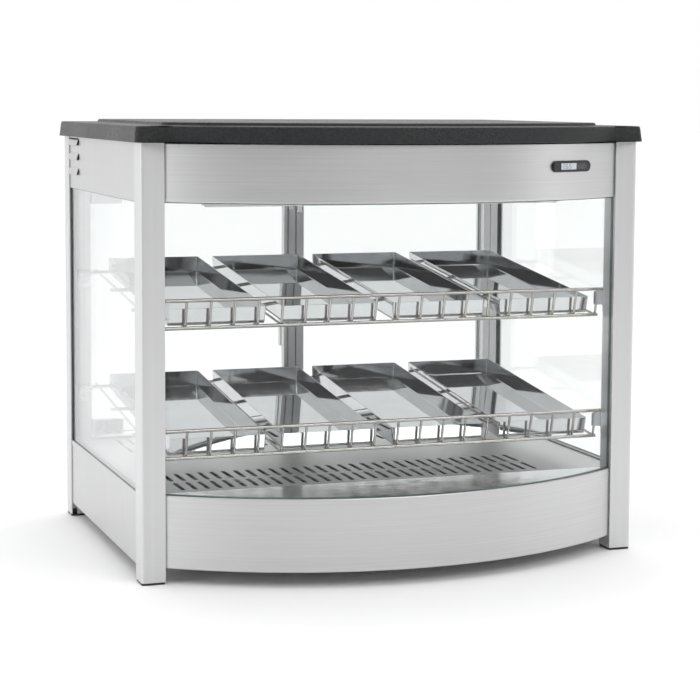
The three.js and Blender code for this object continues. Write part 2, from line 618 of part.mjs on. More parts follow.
function wireShelf(z) {
  const pieces = [];
  const fenceTop = (x) => new THREE.Vector3(x, FENCE_Y, z).addScaledVector(FENCE, FENCE_HEIGHT);
  pieces.push(rod(fenceTop(-TOP_ROD_HALF), fenceTop(TOP_ROD_HALF), ROD_R));
  for (const side of [-1, 1]) {
    const bend = fenceTop(side * (TOP_ROD_HALF - ROD_R));
    const tip = bend.clone();
    tip.z -= HOOK_DROP;
    pieces.push(rod(bend, tip, ROD_R - 0.1));
  }
  pieces.push(rod(onShelf(z, -SHELF_HALF - 2, -WELD, 0.5), onShelf(z, SHELF_HALF + 2, -WELD, 0.5), ROD_R));
  CROSS_RODS.forEach((along) => pieces.push(crossRod(z, along, SHELF_HALF + 8)));
  pieces.push(crossRod(z, REAR_ROD, REAR_ROD_HALF));
  for (let i = 0; i < SHELF_WIRES; i += 1) {
    const x = -SHELF_HALF + (2 * SHELF_HALF * i) / (SHELF_WIRES - 1);
    pieces.push(rod(onShelf(z, x, -WIRE_R * 0.7, 0), onShelf(z, x, SHELF_LENGTH, 0), WIRE_R));
    pieces.push(rod(onShelf(z, x, 0, -0.6), fenceTop(x), WIRE_R));
  }
  return join(pieces);
}

const LEDGE = {
  outer: 335, inner: 316, sheet: 2.5, reach: 7.6, lip: 2.4, lipRise: 4, drop: 20, rise: 6,
};
const HOOK = {
  inner: 300, tongue: 314, tongueTo: 317, outer: 331, sheet: 1.2, reach: 6,
  tongueDrop: 16, armDrop: 19, drop: 30,
};

function rearBracket(side, z) {
  const rodAt = onShelf(z, 0, REAR_ROD, -WELD);
  const ledge = rodAt.z - ROD_R - GAP;
  const face = INNER_Y - GAP;
  const outer = side * LEDGE.outer;
  const inner = side * LEDGE.inner;
  const front = rodAt.y - LEDGE.reach;
  return join([
    block(outer, inner, face - LEDGE.sheet, face, ledge - LEDGE.drop, ledge + LEDGE.rise),
    block(outer, inner, front, face, ledge - LEDGE.sheet, ledge),
    block(outer, inner, front, front + LEDGE.lip, ledge - LEDGE.sheet, ledge + LEDGE.lipRise),
  ]);
}

function frontBracket(side, z) {
  const rodAt = new THREE.Vector3(0, FENCE_Y, z).addScaledVector(FENCE, FENCE_HEIGHT);
  const top = rodAt.z - ROD_R - GAP;
  const face = -INNER_Y + GAP;
  return join([
    block(side * HOOK.tongue, side * HOOK.tongueTo, face, rodAt.y + HOOK.reach, top - HOOK.tongueDrop, top),
    block(side * HOOK.inner, side * HOOK.outer, face, face + HOOK.sheet, top - HOOK.armDrop, top),
    block(side * HOOK.tongue, side * HOOK.outer, face, face + HOOK.sheet, top - HOOK.drop,
      top - HOOK.armDrop + 1),
  ]);
}

function pan() {
  const tapered = (width, length, za, zb, shrink) => {
    const geometry = block(-width / 2, width / 2, 0, length, za, zb);
    const position = geometry.attributes.position;
    for (let i = 0; i < position.count; i += 1) {
      if (position.getZ(i) < za + 0.01) {
        const towards = position.getY(i) > length / 2 ? -shrink : shrink;
        position.setX(i, position.getX(i) - Math.sign(position.getX(i)) * shrink);
        position.setY(i, position.getY(i) + towards);
      }
    }
    return geometry;
  };
  const inside = tapered(PAN_WIDTH - 2 * PAN_WALL, PAN_LENGTH - 2 * PAN_WALL, PAN_WALL, PAN_HEIGHT + 1,
    PAN_DRAFT);
  inside.translate(0, PAN_WALL, 0);
  return cut(tapered(PAN_WIDTH, PAN_LENGTH, 0, PAN_HEIGHT, PAN_DRAFT), [inside]);
}

for (const [level, z] of Object.entries(SHELF_HEIGHTS)) {
  add(`shelf_${level}`, wireShelf(z), 'wire');
  for (const [hand, side] of [['left', -1], ['right', 1]]) {
    add(`bracket_rear_${level}_${hand}`, rearBracket(side, z), 'polished');
    add(`bracket_front_${level}_${hand}`, frontBracket(side, z), 'polished');
  }
  for (let i = 0; i < 4; i += 1) {
    const mesh = add(`pan_${level}_${i + 1}`, pan(), 'mirror');
    mesh.position.copy(onShelf(z, (i - 1.5) * PAN_PITCH, PAN_FRONT, WIRE_R + GAP));
    mesh.rotation.x = SHELF_TILT;
  }
}

// ---- Controls on the recessed rear panel ----
const KNOB = { lift: 0.2, skirtR: 19, skirt: 5, gripR: 15, grip: 17, shaftR: 3, shaft: 14 };
const POINTER = { half: 1.2, from: 10, to: 18, low: 3, high: 15.5 };

function thermostatKnob() {
  const base = REAR_OUTER + GAP + KNOB.lift;
  const body = alongY(KNOB_X, CONTROL_Z, base, base + KNOB.skirt, KNOB.skirtR, 32);
  const grip = alongY(KNOB_X, CONTROL_Z, base + KNOB.skirt - 1, base + KNOB.grip, KNOB.gripR, 24);
  const pointer = block(KNOB_X - POINTER.half, KNOB_X + POINTER.half, base + POINTER.from,
    base + POINTER.to, CONTROL_Z + POINTER.low, CONTROL_Z + POINTER.high);
  const shaft = alongY(KNOB_X, CONTROL_Z, REAR_PANEL - KNOB.shaft, base + 2, KNOB.shaftR, 16);
  return join([body, grip, pointer, shaft]);
}
add('thermostat_knob', thermostatKnob(), 'black');

const ROCKER_R = 10.7;
const ROCKER_PIVOT_Y = REAR_OUTER + 0.8;
const ROCKER_HALF_X = 6.2;
const ROCKER_TILT = THREE.MathUtils.degToRad(8);
const ROCKER_SPACING = 18;

const SWITCH_BEZEL = { x: 22, z: 15, thick: 2 };
const SWITCH_BODY = { x: 19.5, z: 12.5, depth: 13 };

function switchHousing() {
  const bezel = block(SWITCH_X - SWITCH_BEZEL.x, SWITCH_X + SWITCH_BEZEL.x, REAR_OUTER + GAP,
    REAR_OUTER + GAP + SWITCH_BEZEL.thick, CONTROL_Z - SWITCH_BEZEL.z, CONTROL_Z + SWITCH_BEZEL.z);
  const body = block(SWITCH_X - SWITCH_BODY.x, SWITCH_X + SWITCH_BODY.x, REAR_PANEL - SWITCH_BODY.depth,
    REAR_OUTER + 1, CONTROL_Z - SWITCH_BODY.z, CONTROL_Z + SWITCH_BODY.z);
  const pockets = [-1, 1].map((hand) => {
    const x = SWITCH_X + (hand * ROCKER_SPACING) / 2;
    return block(x - ROCKER_HALF_X - GAP, x + ROCKER_HALF_X + GAP, ROCKER_PIVOT_Y - ROCKER_R - 0.6,
      REAR_OUTER + 8, CONTROL_Z - ROCKER_R - GAP, CONTROL_Z + ROCKER_R + GAP);
  });
  return cut(join([bezel, body]), pockets);
}
add('switch_housing', switchHousing(), 'black');

function rocker(hand) {
  const x = SWITCH_X + (hand * ROCKER_SPACING) / 2;
  const outline = [[1.4, 0], ...arcPoints(0, 0, ROCKER_R, 70, 290, 14)];
  const geometry = barAlongX(outline, -ROCKER_HALF_X, ROCKER_HALF_X);
  return geometry.rotateX(ROCKER_TILT).translate(x, ROCKER_PIVOT_Y, CONTROL_Z);
}
add('power_switch', rocker(-1), 'black');
add('light_switch', rocker(1), 'black');

const GLAND = { nutR: 13, nut: 8, domeR: 9.5, dome: 20, threadR: 9.6, thread: 10, boreR: 4.2 };

function cableGland() {
  const nut = alongY(GLAND_X, GLAND_Z, REAR_OUTER + GAP, REAR_OUTER + GLAND.nut, GLAND.nutR, 6);
  const dome = alongY(GLAND_X, GLAND_Z, REAR_OUTER + GLAND.nut - 1, REAR_OUTER + GLAND.dome, GLAND.domeR, 20);
  const thread = alongY(GLAND_X, GLAND_Z, REAR_PANEL - GLAND.thread, REAR_OUTER + 2, GLAND.threadR, 20);
  const bore = alongY(GLAND_X, GLAND_Z, REAR_PANEL - GLAND.thread - THROUGH,
    REAR_OUTER + GLAND.dome + THROUGH, GLAND.boreR, 16);
  return cut(join([nut, dome, thread]), [bore]);
}
add('cable_gland', cableGland(), 'black');

// ---- Heating element under the slotted floor, on two saddle strips ----
const ELEMENT_Z = 82;
const ELEMENT_R = 4.2;
const ELEMENT_ROWS = [-150, -50, 50, 150];
const ROW_PITCH = 100;
const ROW_HALF = 230;
const ROW_BOW = 66;
const SADDLES = { x: [-150, 150], half: 8, end: 165, thick: 2, foot: 1.6 };

function heatingElement() {
  const path = new THREE.CurvePath();
  const point = (x, y) => new THREE.Vector3(x, y, ELEMENT_Z);
  ELEMENT_ROWS.forEach((y, i) => {
    const side = i % 2 === 0 ? 1 : -1;
    const end = side * ROW_HALF;
    const bow = side * (ROW_HALF + ROW_BOW);
    path.add(new THREE.LineCurve3(point(-end, y), point(end, y)));
    if (i < ELEMENT_ROWS.length - 1) {
      path.add(new THREE.CubicBezierCurve3(point(end, y), point(bow, y), point(bow, y + ROW_PITCH),
        point(end, y + ROW_PITCH)));
    }
  });
  const section = new THREE.Shape(arcPoints(0, 0, ELEMENT_R, 0, 300, 5)
    .map(([x, y]) => new THREE.Vector2(x, y)));
  const tube = new THREE.ExtrudeGeometry(section, { steps: 56, extrudePath: path, bevelEnabled: false });
  const saddles = SADDLES.x.flatMap((x) => [
    block(x - SADDLES.half, x + SADDLES.half, -SADDLES.end, SADDLES.end, ELEMENT_Z - ELEMENT_R - 1,
      ELEMENT_Z - ELEMENT_R + 1),
    ...[-SADDLES.end, SADDLES.end - SADDLES.thick].map((y) => block(x - SADDLES.half, x + SADDLES.half,
      y, y + SADDLES.thick, BASE_BOTTOM + SADDLES.foot + SHEET + GAP, ELEMENT_Z - ELEMENT_R)),
  ]);
  return join([tube, ...saddles]);
}
add('heating_element', heatingElement(), 'element');

// ---- Light bar under the ceiling ----
const LAMP = { half: 250, front: -200, back: -180, bottom: 480 };
const DIFFUSER = { half: 246, front: -197, back: -183, bottom: 478 };
add('light_bar', join([
  block(-LAMP.half, LAMP.half, LAMP.front, LAMP.back, LAMP.bottom, CEILING_BOTTOM - GAP),
  block(-DIFFUSER.half, DIFFUSER.half, DIFFUSER.front, DIFFUSER.back, DIFFUSER.bottom, LAMP.bottom + 1),
]), 'lamp');

export default cabinet;
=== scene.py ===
"""Countertop heated display cabinet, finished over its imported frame.

Metres, +Z up, front towards -Y, +X to the right of a person who stands in front of it.
"""
import math

import bmesh
import bpy
from bpy.props import FloatProperty, FloatVectorProperty, IntProperty, PointerProperty
from mathutils import Matrix, Vector


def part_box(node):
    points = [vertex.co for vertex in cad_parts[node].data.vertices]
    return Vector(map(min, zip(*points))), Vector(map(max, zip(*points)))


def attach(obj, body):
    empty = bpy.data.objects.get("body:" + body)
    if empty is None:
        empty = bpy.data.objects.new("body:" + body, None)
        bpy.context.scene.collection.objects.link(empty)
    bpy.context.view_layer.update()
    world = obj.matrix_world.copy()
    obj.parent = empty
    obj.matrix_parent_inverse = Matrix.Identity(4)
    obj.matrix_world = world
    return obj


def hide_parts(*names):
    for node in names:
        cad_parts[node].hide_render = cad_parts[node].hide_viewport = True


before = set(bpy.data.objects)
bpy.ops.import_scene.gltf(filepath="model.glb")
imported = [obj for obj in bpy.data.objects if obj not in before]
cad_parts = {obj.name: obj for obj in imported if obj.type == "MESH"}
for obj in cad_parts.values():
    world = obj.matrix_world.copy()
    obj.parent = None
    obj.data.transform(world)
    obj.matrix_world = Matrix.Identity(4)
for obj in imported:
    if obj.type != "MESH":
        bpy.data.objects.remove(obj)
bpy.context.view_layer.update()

bl_info = {
    "name": "Heated Display Cabinet",
    "version": (1, 0, 0),
    "blender": (4, 5, 0),
    "location": "View3D > Sidebar > Cabinet",
    "description": "Builds the pieces of a countertop heated display cabinet with two wire shelves",
    "category": "Object",
}

MM = 0.001
SIDES = (("left", -1), ("right", 1))
ENDS = (("front", -1), ("rear", 1))
LEVELS = ("upper", "lower")

# ---- Places that every piece shares, taken from the frame ----
POST_LOW, POST_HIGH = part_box("post_front_left")
FASCIA_LOW, FASCIA_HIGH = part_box("fascia_front")
LID_LOW, LID_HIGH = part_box("lid")

FRONT_RECESS = 3 * MM  # the curved panels start this far behind the post faces
FRONT_HALF = FASCIA_HIGH.x
FRONT_MID = FASCIA_LOW.y
FRONT_SAGITTA = POST_LOW.y + FRONT_RECESS - FRONT_MID
FRONT_RADIUS = (FRONT_HALF ** 2 + FRONT_SAGITTA ** 2) / (2 * FRONT_SAGITTA)
FRONT_CENTRE = FRONT_MID + FRONT_RADIUS
INNER_X = -POST_HIGH.x  # inner faces of the posts
INNER_FRONT = POST_HIGH.y
INNER_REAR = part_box("post_rear_left")[0].y
SIDE_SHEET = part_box("ceiling_panel")[1].x + 2 * MM  # outer face of the side sheets


# ---- Sizes and colours that a user would change ----
class CabinetSizes(bpy.types.PropertyGroup):
    sheet: FloatProperty(name="Sheet", description="Thickness of the steel sheet",
                         default=1.2 * MM, unit="LENGTH")
    bend: FloatProperty(name="Bend radius", description="Outer radius where a sheet is folded",
                        default=1.8 * MM, unit="LENGTH")
    edge: FloatProperty(name="Edge softening", description="Width of the broken edge on cut metal",
                        default=0.25 * MM, unit="LENGTH")
    arc_steps: IntProperty(name="Arc steps", description="Steps along the curved front", default=56)
    wire: FloatProperty(name="Wire radius", description="Radius of the front-to-back shelf wires",
                        default=1.75 * MM, unit="LENGTH")
    rod: FloatProperty(name="Rod radius", description="Radius of the rods across the shelf",
                       default=2.4 * MM, unit="LENGTH")
    wire_sides: IntProperty(name="Wire sides", description="Sides of a round wire", default=10)
    wire_bend: FloatProperty(name="Wire bend", description="Radius where a wire turns up into the fence",
                             default=5 * MM, unit="LENGTH")
    shelf_tilt: FloatProperty(name="Shelf tilt", description="Fall of the shelves towards the front",
                              default=math.radians(6.4), subtype="ANGLE")
    fence_lean: FloatProperty(name="Fence lean", description="Forward lean of the fence",
                              default=math.radians(14.3), subtype="ANGLE")
    fence_height: FloatProperty(name="Fence height", description="Fence height along its lean",
                                default=37.5 * MM, unit="LENGTH")
    shelf_wires: IntProperty(name="Shelf wires", description="Wires from front to back", default=20)
    pan_width: FloatProperty(name="Pan width", description="Width of a pan over its rim",
                             default=134 * MM, unit="LENGTH")
    pan_length: FloatProperty(name="Pan length", description="Length of a pan over its rim",
                              default=350 * MM, unit="LENGTH")
    pan_height: FloatProperty(name="Pan height", description="Depth of a pan", default=23 * MM,
                              unit="LENGTH")
    pan_wall: FloatProperty(name="Pan wall", description="Thickness of a pan's sheet",
                            default=0.9 * MM, unit="LENGTH")
    pan_draft: FloatProperty(name="Pan draft", description="How far a pan narrows to its base",
                             default=1.6 * MM, unit="LENGTH")
    pan_corner: FloatProperty(name="Pan corner", description="Plan radius of a pan's corners",
                              default=3.2 * MM, unit="LENGTH")
    slot_width: FloatProperty(name="Slot width", description="Width of a floor slot", default=6.5 * MM,
                              unit="LENGTH")
    slot_pitch: FloatProperty(name="Slot pitch", description="Spacing of the floor slots",
                              default=16.64 * MM, unit="LENGTH")
    slot_columns: IntProperty(name="Slot columns", description="Floor slots in a row", default=31)


class CabinetColours(bpy.types.PropertyGroup):
    lid: FloatVectorProperty(name="Lid", description="Grained plastic lid", subtype="COLOR",
                             default=(0.010, 0.0105, 0.0115), min=0, max=1)
    brushed: FloatVectorProperty(name="Brushed steel", description="Panels", subtype="COLOR",
                                 default=(0.66, 0.661, 0.664), min=0, max=1)
    polished: FloatVectorProperty(name="Polished steel", description="Pans, apron and clamps",
                                  subtype="COLOR", default=(0.70, 0.71, 0.72), min=0, max=1)
    wire: FloatVectorProperty(name="Bright wire", description="Plated shelf wire", subtype="COLOR",
                              default=(0.47, 0.45, 0.425), min=0, max=1)
    anodised: FloatVectorProperty(name="Anodised aluminium", description="Posts and mullion",
                                  subtype="COLOR", default=(0.72, 0.722, 0.726), min=0, max=1)
    black: FloatVectorProperty(name="Black plastic", description="Controls and feet", subtype="COLOR",
                               default=(0.012, 0.012, 0.013), min=0, max=1)
    glass: FloatVectorProperty(name="Glass", description="Tint through a pane", subtype="COLOR",
                               default=(0.985, 0.992, 0.99), min=0, max=1)
    glass_edge: FloatVectorProperty(name="Glass edge", description="Tint of a ground edge",
                                    subtype="COLOR", default=(0.10, 0.15, 0.15), min=0, max=1)


def sizes():
    return bpy.context.scene.cabinet_sizes


def colours():
    return bpy.context.scene.cabinet_colours


# ---- Finishes ----
class Finish:
    """A material being built: a Principled shader, and short ways to add the nodes that feed it."""

    def __init__(self, name, colour, roughness, metallic=0.0):
        self.material = bpy.data.materials.new(name)
        self.material.use_nodes = True
        self.tree = self.material.node_tree
        self.shader = self.tree.nodes["Principled BSDF"]
        self.output = self.tree.nodes["Material Output"]
        self.set(Roughness=roughness, Metallic=metallic)
        self.shader.inputs["Base Color"].default_value = (*colour, 1)
        self.coordinates = self.tree.nodes.new("ShaderNodeTexCoord").outputs["Object"]

    def set(self, **values):
        for socket, value in values.items():
            self.shader.inputs[socket.replace("_", " ")].default_value = value

    def node(self, kind, **settings):
        made = self.tree.nodes.new(kind)
        for key, value in settings.items():
            setattr(made, key, value)
        return made

    def link(self, source, target):
        self.tree.links.new(source, target)

    def stretched(self, scale):
        """Object coordinates, scaled apart so that a pattern runs along the least scaled axis."""
        mapping = self.node("ShaderNodeMapping")
        mapping.inputs["Scale"].default_value = scale
        self.link(self.coordinates, mapping.inputs["Vector"])
        return mapping.outputs["Vector"]

    def noise(self, vector, scale, detail=3.0, roughness=0.55, distortion=0.0):
        made = self.node("ShaderNodeTexNoise")
        values = {"Scale": scale, "Detail": detail, "Roughness": roughness, "Distortion": distortion}
        for socket, value in values.items():
            made.inputs[socket].default_value = value
        self.link(vector, made.inputs["Vector"])
        return made.outputs["Fac"]

    def cells(self, vector, scale):
        made = self.node("ShaderNodeTexVoronoi", feature="SMOOTH_F1")
        made.inputs["Scale"].default_value = scale
        self.link(vector, made.inputs["Vector"])
        return made.outputs["Distance"]

    def spread(self, factor, low, high, start=0.3, end=0.7):
        """Maps a pattern from start..end to low..high."""
        made = self.node("ShaderNodeMapRange")
        values = {"From Min": start, "From Max": end, "To Min": low, "To Max": high}
        for socket, value in values.items():
            made.inputs[socket].default_value = value
        self.link(factor, made.inputs["Value"])
        return made.outputs["Result"]

    def blend(self, factor, first, second):
        """A colour that goes from first to second as a pattern rises."""
        made = self.node("ShaderNodeMix", data_type="RGBA")
        made.inputs[6].default_value = (*first, 1)
        made.inputs[7].default_value = (*second, 1)
        self.link(factor, made.inputs[0])
        return made.outputs[2]

    def join(self, first, second, operation="ADD"):
        made = self.node("ShaderNodeMath", operation=operation)
        self.link(first, made.inputs[0])
        self.link(second, made.inputs[1])
        return made.outputs[0]

    def bump(self, height, strength, distance=0.1 * MM):
        made = self.node("ShaderNodeBump")
        made.inputs["Strength"].default_value = strength
        made.inputs["Distance"].default_value = distance
        self.link(height, made.inputs["Height"])
        self.link(made.outputs["Normal"], self.shader.inputs["Normal"])


def shade(colour, factor):
    return tuple(min(1.0, channel * factor) for channel in colour)


FINISHES = {}


def finished(name, make):
    """The finish of that name, made once."""
    if name not in FINISHES:
        FINISHES[name] = make(name)
    return FINISHES[name]


LONG, FINE = 9, 2600  # waves a metre along and across the brushing
GRAINS = {"x": (LONG, FINE, FINE), "z": (FINE, FINE, LONG), "level": (LONG, LONG, FINE)}


def brushed_steel(along):
    """Steel sheet with a fine directional grain; level runs round the curved front."""
    def make(name):
        base = colours().brushed
        finish = Finish(name, base, 0.3, 1.0)
        grain = finish.noise(finish.stretched(GRAINS[along]), 1.0, 4.0, 0.7)
        wide = tuple(value / 3 for value in GRAINS[along])
        streaks = finish.noise(finish.stretched(wide), 1.0, 4.0, 0.7)
        patches = finish.noise(finish.coordinates, 3.5, 2.0)
        both = finish.join(grain, streaks, "MULTIPLY")
        colour = finish.blend(finish.spread(both, 0, 1, 0.12, 0.4), shade(base, 0.93), shade(base, 1.06))
        finish.link(colour, finish.shader.inputs["Base Color"])
        mixed = finish.join(finish.spread(grain, 0.0, 0.1), finish.spread(patches, 0.36, 0.42))
        finish.link(mixed, finish.shader.inputs["Roughness"])
        finish.bump(finish.join(grain, streaks), 0.06, 0.04 * MM)
        return finish.material
    return finished(f"brushed_steel_{along}", make)


def polished_steel(name="polished_sheet", wave=0.5, roughness=0.09, painted_shade=1.0):
    """Bright rolled steel: slight waves in the sheet and faint polishing lines."""
    def make(_):
        # painted_shade darkens the whole steel evenly; a value below 1 is painted shade
        base = shade(colours().polished, painted_shade)
        finish = Finish(name, base, roughness, 1.0)
        waves = finish.noise(finish.coordinates, 14.0, 2.0, 0.4, 0.6)
        lines = finish.noise(finish.stretched((260, 12, 260)), 1.0, 3.0, 0.6)
        smears = finish.noise(finish.coordinates, 22.0, 4.0)
        gloss = finish.spread(smears, roughness * 0.7, roughness * 1.6)
        finish.link(gloss, finish.shader.inputs["Roughness"])
        colour = finish.blend(finish.spread(smears, 0, 1), shade(base, 0.95), shade(base, 1.03))
        finish.link(colour, finish.shader.inputs["Base Color"])
        finish.bump(finish.join(waves, finish.spread(lines, 0.0, 0.01)), wave, 0.6 * MM)
        return finish.material
    return finished(name, make)


def bright_wire():
    """Nickel-plated wire with faint drawing lines."""
    def make(name):
        base = colours().wire
        finish = Finish(name, base, 0.2, 1.0)
        mottle = finish.noise(finish.coordinates, 180.0, 3.0)
        drawn = finish.noise(finish.stretched((900, 60, 900)), 1.0, 2.0)
        colour = finish.blend(finish.spread(mottle, 0, 1), shade(base, 0.95), shade(base, 1.05))
        finish.link(colour, finish.shader.inputs["Base Color"])
        finish.link(finish.spread(mottle, 0.14, 0.28), finish.shader.inputs["Roughness"])
        finish.bump(drawn, 0.04, 0.05 * MM)
        return finish.material
    return finished("plated_wire", make)


def anodised_aluminium():
    """Satin anodised extrusion: fine lines along the length and a soft matt sheen."""
    def make(name):
        base = colours().anodised
        finish = Finish(name, base, 0.4, 0.7)
        lines = finish.noise(finish.stretched((700, 700, 2.5)), 1.0, 3.0, 0.6)
        dust = finish.noise(finish.coordinates, 1500.0, 2.0)
        bands = finish.noise(finish.stretched((90, 90, 0.6)), 1.0, 2.0)
        colour = finish.blend(finish.spread(bands, 0, 1), shade(base, 0.97), shade(base, 1.03))
        finish.link(colour, finish.shader.inputs["Base Color"])
        finish.link(finish.join(finish.spread(lines, 0.0, 0.06), finish.spread(dust, 0.36, 0.44)),
                    finish.shader.inputs["Roughness"])
        finish.bump(finish.join(lines, dust), 0.12, 0.04 * MM)
        return finish.material
    return finished("satin_aluminium", make)


def lid_plastic():
    """Black moulded plastic with a leather grain of small raised cells."""
    def make(name):
        base = colours().lid
        finish = Finish(name, base, 0.5)
        finish.set(Specular_IOR_Level=0.4)
        cells = finish.cells(finish.coordinates, 430.0)
        fine = finish.noise(finish.coordinates, 1900.0, 2.0)
        wear = finish.noise(finish.coordinates, 9.0, 3.0)
        colour = finish.blend(finish.spread(cells, 0, 1, 0.1, 0.8), shade(base, 0.55), shade(base, 2.4))
        finish.link(colour, finish.shader.inputs["Base Color"])
        sheen = finish.join(finish.spread(wear, 0.26, 0.34), finish.spread(cells, 0.0, 0.14))
        finish.link(sheen, finish.shader.inputs["Roughness"])
        finish.bump(finish.join(cells, finish.spread(fine, 0.0, 0.3)), 1.0, 0.5 * MM)
        return finish.material
    return finished("grained_plastic", make)


def black_plastic():
    """Fine spark-textured black plastic, rubbed a little brighter in patches."""
    def make(name):
        base = colours().black
        finish = Finish(name, base, 0.42)
        texture = finish.noise(finish.coordinates, 2200.0, 2.0)
        rubbed = finish.noise(finish.coordinates, 60.0, 3.0)
        colour = finish.blend(finish.spread(rubbed, 0, 1), base, shade(base, 1.8))
        finish.link(colour, finish.shader.inputs["Base Color"])
        finish.link(finish.spread(rubbed, 0.34, 0.5), finish.shader.inputs["Roughness"])
        finish.bump(texture, 0.25, 0.05 * MM)
        return finish.material
    return finished("textured_plastic", make)


def rubber():
    """Matt grey seal rubber with a faint bloom."""
    def make(name):
        finish = Finish(name, (0.14, 0.145, 0.15), 0.7)
        bloom = finish.noise(finish.coordinates, 120.0, 4.0)
        colour = finish.blend(finish.spread(bloom, 0, 1), (0.11, 0.115, 0.12), (0.18, 0.185, 0.19))
        finish.link(colour, finish.shader.inputs["Base Color"])
        finish.bump(bloom, 0.2, 0.1 * MM)
        return finish.material
    return finished("seal_rubber", make)


def pane_glass(name="clear_pane", clearness=5.0):
    """Thin glass: see-through head on, and more of a mirror the more it is seen edge on."""
    def make(_):
        finish = Finish(name, (1, 1, 1), 0.02)
        finish.tree.nodes.remove(finish.shader)
        clear = finish.node("ShaderNodeBsdfTransparent")
        clear.inputs["Color"].default_value = (*colours().glass, 1)
        gloss = finish.node("ShaderNodeBsdfGlossy")
        gloss.inputs["Roughness"].default_value = 0.015
        facing = finish.node("ShaderNodeLayerWeight")
        # painted reflection: a low clearness gives the pane more mirror than glass has, a veil of reflected
        # light
        slant = finish.node("ShaderNodeMath", operation="POWER")
        slant.inputs[1].default_value = clearness
        finish.link(facing.outputs["Facing"], slant.inputs[0])
        veil_mottle = finish.noise(finish.coordinates, 6.0, 3.0)
        tint = finish.blend(finish.spread(veil_mottle, 0, 1), (0.93, 0.95, 0.96), (1, 1, 1))
        finish.link(tint, gloss.inputs["Color"])
        mix = finish.node("ShaderNodeMixShader")
        finish.link(finish.spread(slant.outputs[0], 0.018, 1.0, 0, 1), mix.inputs[0])
        finish.link(clear.outputs[0], mix.inputs[1])
        finish.link(gloss.outputs[0], mix.inputs[2])
        finish.link(mix.outputs[0], finish.output.inputs["Surface"])
        return finish.material
    return finished(name, make)


def edge_glass():
    """The ground edge of a pane, where the green of the glass gathers."""
    def make(name):
        base = colours().glass_edge
        finish = Finish(name, base, 0.25)
        ground = finish.noise(finish.coordinates, 900.0, 3.0)
        depth = finish.noise(finish.coordinates, 7.0, 2.0)
        colour = finish.blend(finish.spread(depth, 0, 1), shade(base, 0.75), shade(base, 1.5))
        finish.link(colour, finish.shader.inputs["Base Color"])
        finish.link(finish.spread(ground, 0.18, 0.4), finish.shader.inputs["Roughness"])
        finish.bump(ground, 0.2, 0.05 * MM)
        return finish.material
    return finished("glass_edge", make)


def display_window():
    """The pale liquid crystal panel of the thermometer, slightly uneven behind its cover."""
    def make(name):
        finish = Finish(name, (0.62, 0.65, 0.72), 0.12)
        uneven = finish.noise(finish.coordinates, 240.0, 2.0)
        colour = finish.blend(finish.spread(uneven, 0, 1), (0.54, 0.57, 0.65), (0.72, 0.74, 0.8))
        finish.link(colour, finish.shader.inputs["Base Color"])
        finish.set(Coat_Weight=0.6, Coat_Roughness=0.05)
        return finish.material
    return finished("display_panel", make)


def smoked_window():
    """The dark half of the thermometer's window."""
    def make(name):
        finish = Finish(name, (0.07, 0.07, 0.078), 0.15)
        haze = finish.noise(finish.coordinates, 300.0, 3.0)
        colour = finish.blend(finish.spread(haze, 0, 1), (0.055, 0.055, 0.06), (0.1, 0.1, 0.11))
        finish.link(colour, finish.shader.inputs["Base Color"])
        finish.link(finish.spread(haze, 0.1, 0.2), finish.shader.inputs["Roughness"])
        return finish.material
    return finished("smoked_window", make)


def painted(name, colour):
    """Printed or painted marks, with the slight mottle of ink."""
    def make(_):
        finish = Finish(name, colour, 0.5)
        mottle = finish.noise(finish.coordinates, 1400.0, 2.0)
        shades = finish.blend(finish.spread(mottle, 0, 1), shade(colour, 0.85), shade(colour, 1.05))
        finish.link(shades, finish.shader.inputs["Base Color"])
        return finish.material
    return finished(name, make)


def element_sheath():
    """Heat-darkened steel tube, straw and blue-grey where it runs hottest."""
    def make(name):
        finish = Finish(name, (0.12, 0.11, 0.1), 0.45, 0.85)
        oxide = finish.noise(finish.coordinates, 18.0, 4.0)
        colour = finish.blend(finish.spread(oxide, 0, 1), (0.07, 0.066, 0.07), (0.2, 0.165, 0.12))
        finish.link(colour, finish.shader.inputs["Base Color"])
        finish.link(finish.spread(oxide, 0.35, 0.6), finish.shader.inputs["Roughness"])
        finish.bump(finish.noise(finish.coordinates, 500.0, 3.0), 0.3, 0.1 * MM)
        return finish.material
    return finished("oxidised_tube", make)


def lamp_diffuser():
    """Opal diffuser with the rows of light points faintly uneven behind it."""
    def make(name):
        finish = Finish(name, (0.86, 0.85, 0.82), 0.35)
        cloud = finish.noise(finish.stretched((60, 20, 20)), 1.0, 2.0)
        colour = finish.blend(finish.spread(cloud, 0, 1), (0.78, 0.77, 0.74), (0.92, 0.91, 0.88))
        finish.link(colour, finish.shader.inputs["Base Color"])
        finish.set(Subsurface_Weight=0.2)
        return finish.material
    return finished("opal_diffuser", make)


# ---- Mesh helpers ----
def rounded(points, radius, steps=4, closed=False):
    """The same path with its corners turned into arcs."""
    corners = [Vector(point) for point in points]
    count = len(corners)
    path = []
    for i, corner in enumerate(corners):
        if not closed and i in (0, count - 1):
            path.append(corner)
            continue
        back = corners[i - 1] - corner
        ahead = corners[(i + 1) % count] - corner
        reach = min(back.length, ahead.length) * 0.49
        back.normalize()
        ahead.normalize()
        opening = back.angle(ahead)
        if math.pi - opening < 0.02:
            path.append(corner)
            continue
        tangent = min(radius / math.tan(opening / 2), reach)
        arc_radius = tangent * math.tan(opening / 2)
        centre = corner + (back + ahead).normalized() * (arc_radius / math.sin(opening / 2))
        start = corner + back * tangent - centre
        turn = math.pi - opening
        sense = 1 if start.cross(corner + ahead * tangent - centre) > 0 else -1
        for step in range(steps + 1):
            angle = sense * turn * step / steps
            path.append(centre + Matrix.Rotation(angle, 2) @ start)
    return path


